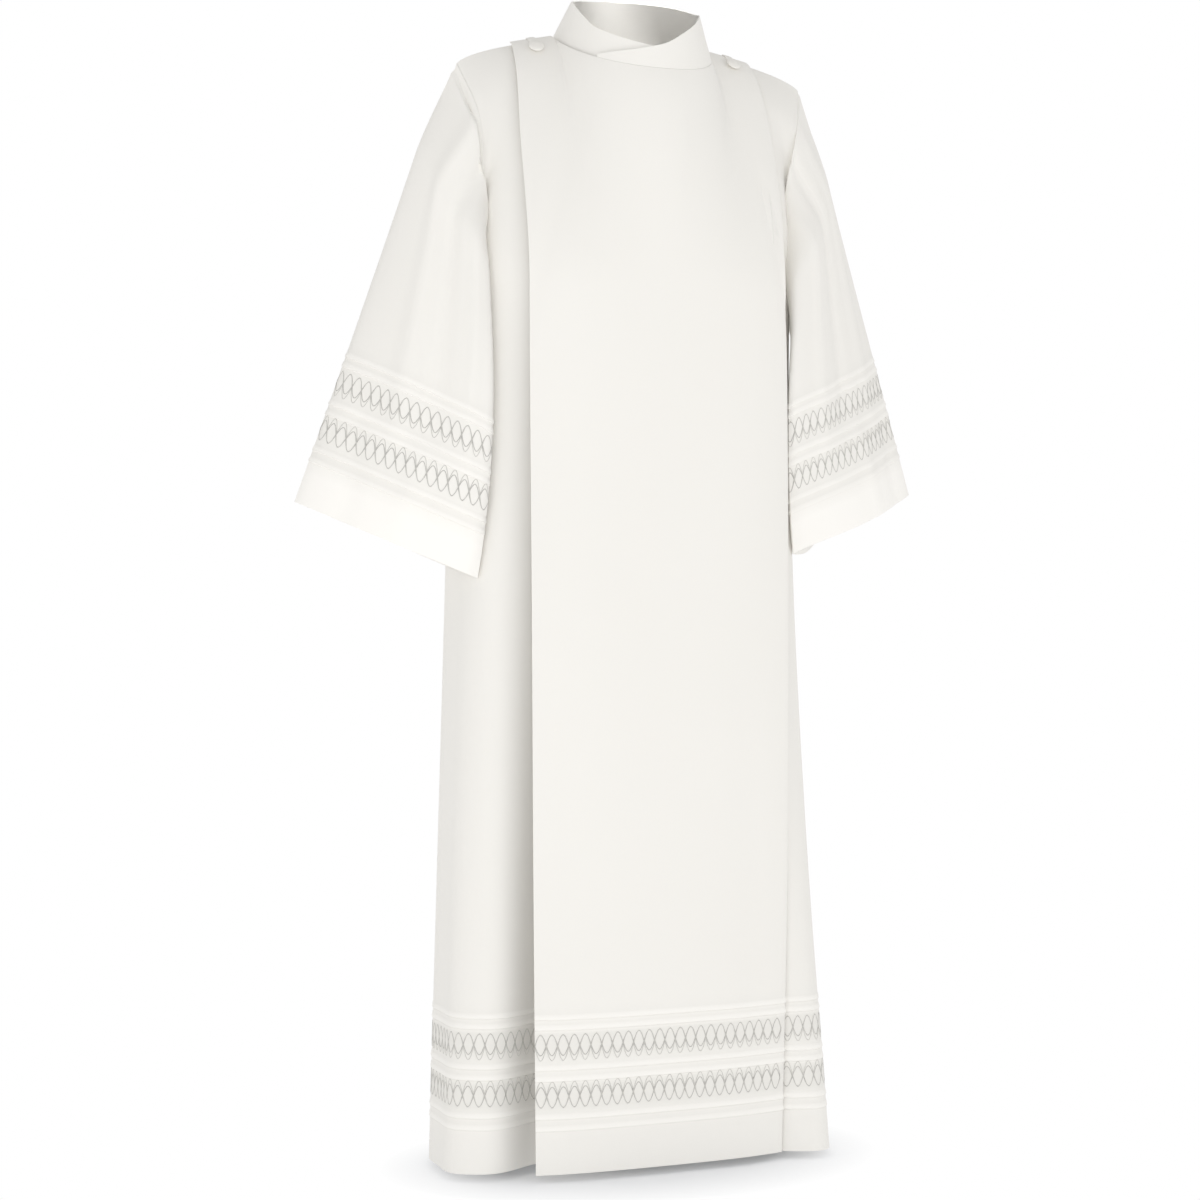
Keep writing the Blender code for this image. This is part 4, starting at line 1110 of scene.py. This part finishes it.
def tube_set(name, lines, outs, half_width, rise, material):
    """Many fine threads as one mesh, each a flattened four-sided tube laid on the cloth."""
    points, faces = [], []
    for line, out in zip(lines, outs):
        side = unit(np.cross(out, unit(np.gradient(line, axis=0))))
        under = line - out * rise * THREAD_SINK
        ring = [line + side * half_width, line + out * rise, line - side * half_width, under]
        start = len(points)
        count = len(line)
        for k in range(count):
            points.extend(strand[k] for strand in ring)
        for k in range(count - 1):
            for edge in range(4):
                a, b = start + 4 * k + edge, start + 4 * k + (edge + 1) % 4
                faces.append((a, b, b + 4, a + 4))
        faces.append(tuple(start + edge for edge in (3, 2, 1, 0)))
        faces.append(tuple(start + 4 * (count - 1) + edge for edge in range(4)))
    points = np.array(points)
    points[:, 2] -= GARMENT_LENGTH
    return mesh_of(name, points, faces, material)


def laid_line(band, wall, span, centre, swing, phase, closed):
    """One wave on a wall's outer face; span is the first and last column it runs over."""
    grid, normals, raised = wall
    outside = grid + normals * (CLOTH / 2 + raised[:, None, None])
    if closed:
        outside = np.concatenate([outside, outside[:, :1]], 1)
        normals = np.concatenate([normals, normals[:, :1]], 1)
    first, last = span
    row = np.searchsorted(band, centre)
    steps = np.linalg.norm(np.diff(outside[row, first : last + 1], axis=0), axis=1)
    length = np.concatenate([[0.0], np.cumsum(steps)])
    loops = max(1, round(length[-1] / LOOP_PITCH))
    turn = np.linspace(0, 1, loops * LOOP_POINTS + 1)
    column_at = np.interp(turn * length[-1], length, np.arange(first, last + 1))
    height = centre + swing * np.sin(math.pi * loops * turn + phase)
    row_at = np.interp(height, band, np.arange(len(band)))
    low_row = np.minimum(np.floor(row_at).astype(int), len(band) - 2)
    low_column = np.minimum(np.floor(column_at).astype(int), outside.shape[1] - 2)
    r, c = (row_at - low_row)[:, None], (column_at - low_column)[:, None]

    def read_at(values):
        low = values[low_row, low_column] * (1 - c) + values[low_row, low_column + 1] * c
        high = values[low_row + 1, low_column] * (1 - c) + values[low_row + 1, low_column + 1] * c
        return low * (1 - r) + high * r

    out = unit(read_at(normals))
    return read_at(outside) + out * THREAD_LIFT, out


def embroider(name, band, wall, span, threads, closed=False):
    """Both rows of crossing waves on one cloth piece."""
    made = []
    for kind in ("dark", "pale"):
        lines, outs = [], []
        for centre, swing, thread in LOOPS[1:]:
            if thread != kind:
                continue
            for phase in (0.0, math.pi):
                line, out = laid_line(band, wall, span, centre, swing, phase, closed)
                lines.append(line)
                outs.append(out)
        piece = tube_set(f"{name}_{kind}_waves", lines, outs, THREAD_HALF[kind], THREAD_RISE, threads[kind])
        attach(piece, "root")
        made.append(piece)
    return made


def fine_band():
    """Distances from a hem or cuff edge, with the rise of the cloth there and its tone, which holds the tucks'
    painted highlights and shadows and the darker cloth under the embroidery.
    """
    places = {at: (0.0, 0.0) for at in PLAIN_ROWS}
    for tuck in TUCKS:
        for at, rise, tone in TUCK_SHAPE[1:]:
            places[round(tuck + at, 5)] = rise, tone
    for centre in {row[0] for row in LOOPS[1:] if row[2] == "dark"}:
        for at in ROW_TONE_STEPS:
            tone = ROW_TONE * (1 - float(ease(abs(at), *ROW_TONE_REACH)))
            places[round(centre + float(at), 5)] = 0.0, tone
    keys = sorted(places)
    return (np.array(keys), *np.array([places[key] for key in keys]).T)


def button_profile(share):
    """Radius and height of a button's dome, from its crown (share 0) round to under its rim (share 1)."""
    angle = share * math.radians(BUTTON_WRAP)
    rim = 90 / BUTTON_WRAP
    if angle <= math.radians(BUTTON_RIM_TURN):
        radius = math.sin(angle)
    else:
        radius = BUTTON_UNDER_RADIUS - (share - BUTTON_UNDER_FROM) * BUTTON_UNDER_SLOPE
    if share < rim:
        height = BUTTON_RIM_HEIGHT + (1 - BUTTON_RIM_HEIGHT) * math.cos(angle)
    else:
        height = BUTTON_RIM_HEIGHT * (1 - share) / (1 - rim)
    return radius * BUTTON_RADIUS, height * BUTTON_DEPTH


def fine_button(name, side, panel, material):
    """Cloth-covered button: a soft dome pinched a little where the cloth is gathered under its rim."""
    centre, out, across, up = button_seat(panel, side)
    points, faces = [], []
    for ring in range(BUTTON_RINGS + 1):
        share = ring / BUTTON_RINGS
        radius, height = button_profile(share)
        depth = BUTTON_GATHER_DEPTH * float(ease(share, *BUTTON_GATHER_SHARES))
        for k in range(BUTTON_SIDES):
            turn = 2 * math.pi * k / BUTTON_SIDES
            pinch = 1 - depth * (1 + math.cos(turn * BUTTON_GATHERS))
            flat = (across * math.cos(turn) + up * math.sin(turn)) * radius * pinch
            points.append(centre + flat + out * height)
    for ring in range(BUTTON_RINGS):
        low, high = ring * BUTTON_SIDES, (ring + 1) * BUTTON_SIDES
        for k in range(BUTTON_SIDES):
            n = (k + 1) % BUTTON_SIDES
            faces.append((low + k, low + n, high + n, high + k))
    faces.append(tuple(range(BUTTON_RINGS * BUTTON_SIDES, (BUTTON_RINGS + 1) * BUTTON_SIDES)))
    points = np.array(points)
    points[:, 2] -= GARMENT_LENGTH
    piece = mesh_of(name, points, faces, material)
    mesh = bmesh.new()
    mesh.from_mesh(piece.data)
    bmesh.ops.remove_doubles(mesh, verts=mesh.verts, dist=JOIN_REACH)
    bmesh.ops.recalc_face_normals(mesh, faces=mesh.faces)
    mesh.to_mesh(piece.data)
    mesh.free()
    return piece


def fine_tab(name, side, panel, back, material):
    """The tab with a soft rounded section, from behind the seam to under the button."""
    seat = TAB_CLOTH / 2 + SEAM_GAP
    rows = [(back, row) for row in np.linspace(TAB_BACK_ROWS[0], TAB_SEAM_ROW, TAB_ROWS[0])]
    rows += [(panel, row) for row in np.linspace(2.0, TAB_FRONT_ROWS[-1], TAB_ROWS[1])]
    steps = np.linspace(-1, 1, TAB_STEPS)
    grid, normals = [], []
    for wall, row in rows:
        found = [wall_point(wall, side * BUTTON_X + step * TAB_HALF, row, seat) for step in steps]
        grid.append([point + out * TAB_CROWN * (1 - step**2) for (point, out), step in zip(found, steps)])
        normals.append([out for _, out in found])
    return shell(name, np.array(grid), np.array(normals), material, thickness=TAB_CLOTH)


def dress(piece, node):
    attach(piece, "root")
    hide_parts(node)


def press_creases(name, grid, out, rows):
    """Presses the listed creases into a body piece, fading out at its top and its sewn ends."""
    span = np.interp(rows, [0, 1, 2], CREASE_SPANS)[:, None]
    around = grid[..., 0] / span
    place = np.clip(np.abs(around), 0, 1) ** CREASE_SPAN_POWER * np.sign(around)
    fade = (1 - ease(rows, *CREASE_TOP_FADE))[:, None]
    ends = ease(np.arange(grid.shape[1]), 0, CREASE_END_STEPS)
    sewn = ends[::-1] if name == "front_outer" else ends * ends[::-1]
    grid -= out * (crease_depth(name, place, grid[..., 2]) * fade * sewn)[..., None]


def dressed_sleeve(name, side, armhole, band, near):
    """A sleeve's fine grid, with its rolled head and creases, and its directions."""
    near_seam = 1 - np.arange(SEAM_ROWS)[::-1] * SEAM_ROW_STEP / SLEEVE_PLAIN_LENGTH
    plain = np.append(np.linspace(0, near_seam[0], SLEEVE_ROWS)[1:-1], near_seam)
    grid = sleeve(side, armhole, plain, band, *near)
    grid = roll_over(side, grid, grid_normals(grid, closed=True) * -side)
    normals = grid_normals(grid, closed=True) * -side
    share = np.linspace(0, 1, len(grid))[:, None]
    turn = (np.arange(len(armhole)) / len(armhole))[None]
    depth = crease_depth(name, turn, share) * (1 - ease(share, *CREASE_SLEEVE_TOP))
    grid = grid - normals * depth[..., None]
    return grid, grid_normals(grid, closed=True) * -side


def to_length(values, count):
    """The band's values, followed by zeros up to this many rows."""
    return np.concatenate([values, np.zeros(count - len(values))])


def body_rows(band):
    """Rows up the body: the band of tucks, the plain cloth above it, and from the chest to the top edge."""
    above = np.arange(TUCK_BAND_TOP + GRID_STEP, CHEST_HEIGHT - LEAST_STEP, GRID_STEP)
    upper = 1 + np.linspace(0, 1, UPPER_ROWS + 1)[1:]
    return np.concatenate([band / CHEST_HEIGHT, above / CHEST_HEIGHT, [1.0], upper])


def creased_body(rows):
    """Grids and directions of the right front, the whole left front and the back, with their creases."""
    grids = {
        "front_under": under_front(rows, UNDER_SIDE_STEPS),
        "front_outer": outer_front(rows, STRIP_STEPS),
        "back": back_body(rows, BACK_SIDE_STEPS),
    }
    for name, (grid, out) in grids.items():
        press_creases(name, grid, out, rows)
    return grids


def joined_sleeves(grids, rows, band):
    """Grids and directions of both sleeves, joined to the body's grids at the armholes."""
    chest = len(rows) - UPPER_ROWS - 1
    near = near_body()
    back, back_out = grids["back"]
    sleeves = {}
    for name, side, front_name, front_edge, back_edge in (
        ("sleeve_right", -1, "front_under", 0, -1),
        ("sleeve_left", 1, "front_outer", -1, 0),
    ):
        front, front_out = grids[front_name]
        armhole = np.concatenate([front[chest:, front_edge][::-1], back[chest:, back_edge][1:-1]])
        grid, normals = dressed_sleeve(name, side, armhole, band, near)
        join_sleeve(normals, (front_out, front_edge), (back_out, back_edge), chest)
        sleeves[name] = grid, normals
    return sleeves


def sew_body(grids, band, rise, tone, cloth, threads):
    """Shell and embroidery of each body piece, by name."""
    under, outer, back = (grids[name][0] for name in ("front_under", "front_outer", "back"))
    edge = SEAM_GAP / 2
    inside = inside_pleat()
    under_span = 0, int(np.argmax(under[0, :, 0] > UNDER_ROW_END - PANEL[1][1]))
    panel_span = 0, panel_columns() - 1
    strip_span = panel_columns() + PLEAT_COLUMNS, outer.shape[1] - 1
    back_span = 0, back.shape[1] - 1
    made = {}
    for name, whole, columns, left, right, span in (
        ("front_under", "front_under", slice(None), edge, 0, under_span),
        ("front_outer", "front_outer", slice(0, inside + 1), 0, edge, panel_span),
        ("front_side", "front_outer", slice(inside, None), edge, edge, strip_span),
        ("back", "back", slice(None), edge, edge, back_span),
    ):
        grid, out = grids[whole]
        seamed = pull_in(grid[:, columns], out[:, columns], left=left, right=right, high=edge)
        wall = shell(f"{name}_cloth", seamed, out[:, columns], cloth, raised=rise, tone=tone)
        made[name] = wall, embroider(name, band, (grid, out, rise), span, threads)
    return made


def sew_sleeves(sleeves, band, band_rise, band_tone, cloth, threads):
    """Shell and embroidery of each sleeve, by name."""
    # The cuffs' plain band is made whiter, over the tucks' painted highlights and shadows
    cuff_tone = np.maximum(band_tone, CUFF_TONE * (1 - ease(band, *CUFF_TONE_TOP)))
    made = {}
    for name, (grid, normals) in sleeves.items():
        rise, tone = to_length(band_rise, len(grid)), to_length(cuff_tone, len(grid))
        seamed = pull_in(grid, normals, high=SEAM_GAP / 2)
        wall = shell(f"{name}_cloth", seamed, normals, cloth, closed=True, raised=rise, tone=tone)
        span = 0, grid.shape[1]
        made[name] = wall, embroider(name, band, (grid, normals, rise), span, threads, closed=True)
    return made


def add_buttons(panel, back, cloth, covered):
    """A covered button and its tab on each shoulder."""
    for name, side in (("right", -1), ("left", 1)):
        button = fine_button(f"button_{name}_cloth", side, panel, covered)
        dress(button, f"button_{name}")
        tab = fine_tab(f"tab_{name}_cloth", side, panel, back, cloth)
        dress(tab, f"tab_{name}")


def build_garment():
    """Every cloth piece, its embroidery and the buttons, each standing for its solid."""
    cloth = cloth_material("cream_cloth", CREAM, CREAM_SHADE)
    covered = cloth_material("covered_button", BUTTON_CREAM, BUTTON_SHADE)
    threads = {kind: thread_material(f"{kind}_thread", *tones) for kind, tones in THREADS.items()}
    band, band_rise, band_tone = fine_band()
    rows = body_rows(band)
    grids = creased_body(rows)
    sleeves = joined_sleeves(grids, rows, band)
    rise, tone = to_length(band_rise, len(rows)), to_length(band_tone, len(rows))
    made = sew_body(grids, band, rise, tone, cloth, threads)
    made.update(sew_sleeves(sleeves, band, band_rise, band_tone, cloth, threads))
    band_grid, band_out = collar(COLLAR_ROWS)
    seamed = pull_in(band_grid, band_out, low=SEAM_GAP / 2)
    made["collar"] = shell("collar_cloth", seamed, band_out, cloth), []
    for name, (piece, waves) in made.items():
        dress(piece, name)
    outer, outer_out = (values[:, : panel_columns()] for values in grids["front_outer"])
    add_buttons((rows, outer, outer_out), (rows, *grids["back"]), cloth, covered)


def place_in_scene(name, data, place, turn=(0, 0, 0)):
    """An object put into the scene as part of the stage."""
    thing = bpy.data.objects.new(name, data)
    thing.location = place
    thing.rotation_euler = turn
    bpy.context.scene.collection.objects.link(thing)


def facing(place, aim):
    """The turn of a lamp that points it from its place to its aim."""
    return (Vector(aim) - Vector(place)).to_track_quat("-Z", "Y").to_euler()


def plain_glow(net):
    """An even white glow, bright enough to show as white."""
    return net.node("ShaderNodeEmission", Color=(1, 1, 1, 1), Strength=1.0).outputs[0]


def light_sky():
    """White light from all round."""
    world = bpy.data.worlds.new("studio")
    bpy.context.scene.world = world
    world.use_nodes = True
    sky = world.node_tree.nodes["Background"]
    sky.inputs["Color"].default_value = (1, 1, 1, 1)
    sky.inputs["Strength"].default_value = WORLD_LIGHT


def lay_floor():
    """Plain pale floor just below the hem, fading to white away from it."""
    net = Net("pale_floor")
    space = net.node("ShaderNodeTexCoord").outputs["Object"]
    parts = net.node("ShaderNodeSeparateXYZ", Vector=space)
    x, y = Value(net, parts.outputs["X"]), Value(net, parts.outputs["Y"]) * FLOOR_DEPTH
    reach = (x * x + y * y).power(0.5)
    far = ((reach - FLOOR_FADE[0]) / (FLOOR_FADE[1] - FLOOR_FADE[0])).clamped()
    net.finish(
        FLOOR_COLOUR, 0.9, Specular_IOR_Level=0.0,
        Emission_Strength=FLOOR_GLOW, Emission_Color=FLOOR_GLOW_COLOUR,
    )
    blend = net.node("ShaderNodeMixShader", Fac=far)
    net.tree.links.new(net.shader.outputs[0], blend.inputs[1])
    net.tree.links.new(plain_glow(net), blend.inputs[2])
    net.tree.links.new(blend.outputs[0], net.tree.nodes["Material Output"].inputs["Surface"])
    mesh = bmesh.new()
    bmesh.ops.create_circle(mesh, cap_ends=True, segments=FLOOR_SIDES, radius=FLOOR_RADIUS)
    data = bpy.data.meshes.new("floor")
    mesh.to_mesh(data)
    mesh.free()
    data.materials.append(net.material)
    place_in_scene("floor", data, (0, 0, FLOOR_HEIGHT))


def hang_lamps():
    """Soft lamps round the garment, and a narrow one into its neck."""
    for name, place, aim, size, power in LAMPS[1:]:
        data = bpy.data.lights.new(name, "AREA")
        data.size = size
        data.energy = power
        place_in_scene(name, data, place, facing(place, aim))
    data = bpy.data.lights.new("neck", "SPOT")
    data.spot_size = math.radians(NECK_LAMP_ANGLE)
    data.spot_blend = 1.0
    data.shadow_soft_size = NECK_LAMP_RADIUS
    data.energy = NECK_LAMP_POWER
    place_in_scene("neck", data, NECK_LAMP_PLACE, facing(NECK_LAMP_PLACE, NECK_LAMP_AIM))


def stand_backdrop():
    """A white wall behind the garment, square to the view."""
    net = Net("white_backdrop")
    net.tree.links.new(plain_glow(net), net.tree.nodes["Material Output"].inputs["Surface"])
    corners = [(x * BACKDROP_HALF, y * BACKDROP_HALF, 0) for x, y in ((-1, -1), (1, -1), (1, 1), (-1, 1))]
    data = bpy.data.meshes.new("backdrop")
    data.from_pydata(corners, [], [(0, 1, 2, 3)])
    data.materials.append(net.material)
    turn = math.radians(CAMERA_TURN)
    place = BACKDROP_AWAY * math.sin(turn), BACKDROP_AWAY * math.cos(turn), 0
    place_in_scene("backdrop", data, place, (math.pi / 2, 0, -turn))


def set_camera():
    """A level view from the photo's angle and distance."""
    data = bpy.data.cameras.new("camera")
    data.lens = CAMERA_LENS
    data.sensor_width = SENSOR_WIDTH
    data.shift_x = CAMERA_SHIFT
    turn = math.radians(CAMERA_TURN)
    camera = bpy.data.objects.new("camera", data)
    camera.location = (-CAMERA_DISTANCE * math.sin(turn), -CAMERA_DISTANCE * math.cos(turn), CAMERA_HEIGHT)
    camera.rotation_euler = (math.pi / 2, 0, -turn)
    bpy.context.scene.collection.objects.link(camera)
    bpy.context.scene.camera = camera
    bpy.context.scene.view_settings.view_transform = "Standard"


build_garment()
light_sky()
lay_floor()
hang_lamps()
stand_backdrop()
set_camera()
bpy.context.view_layer.update()
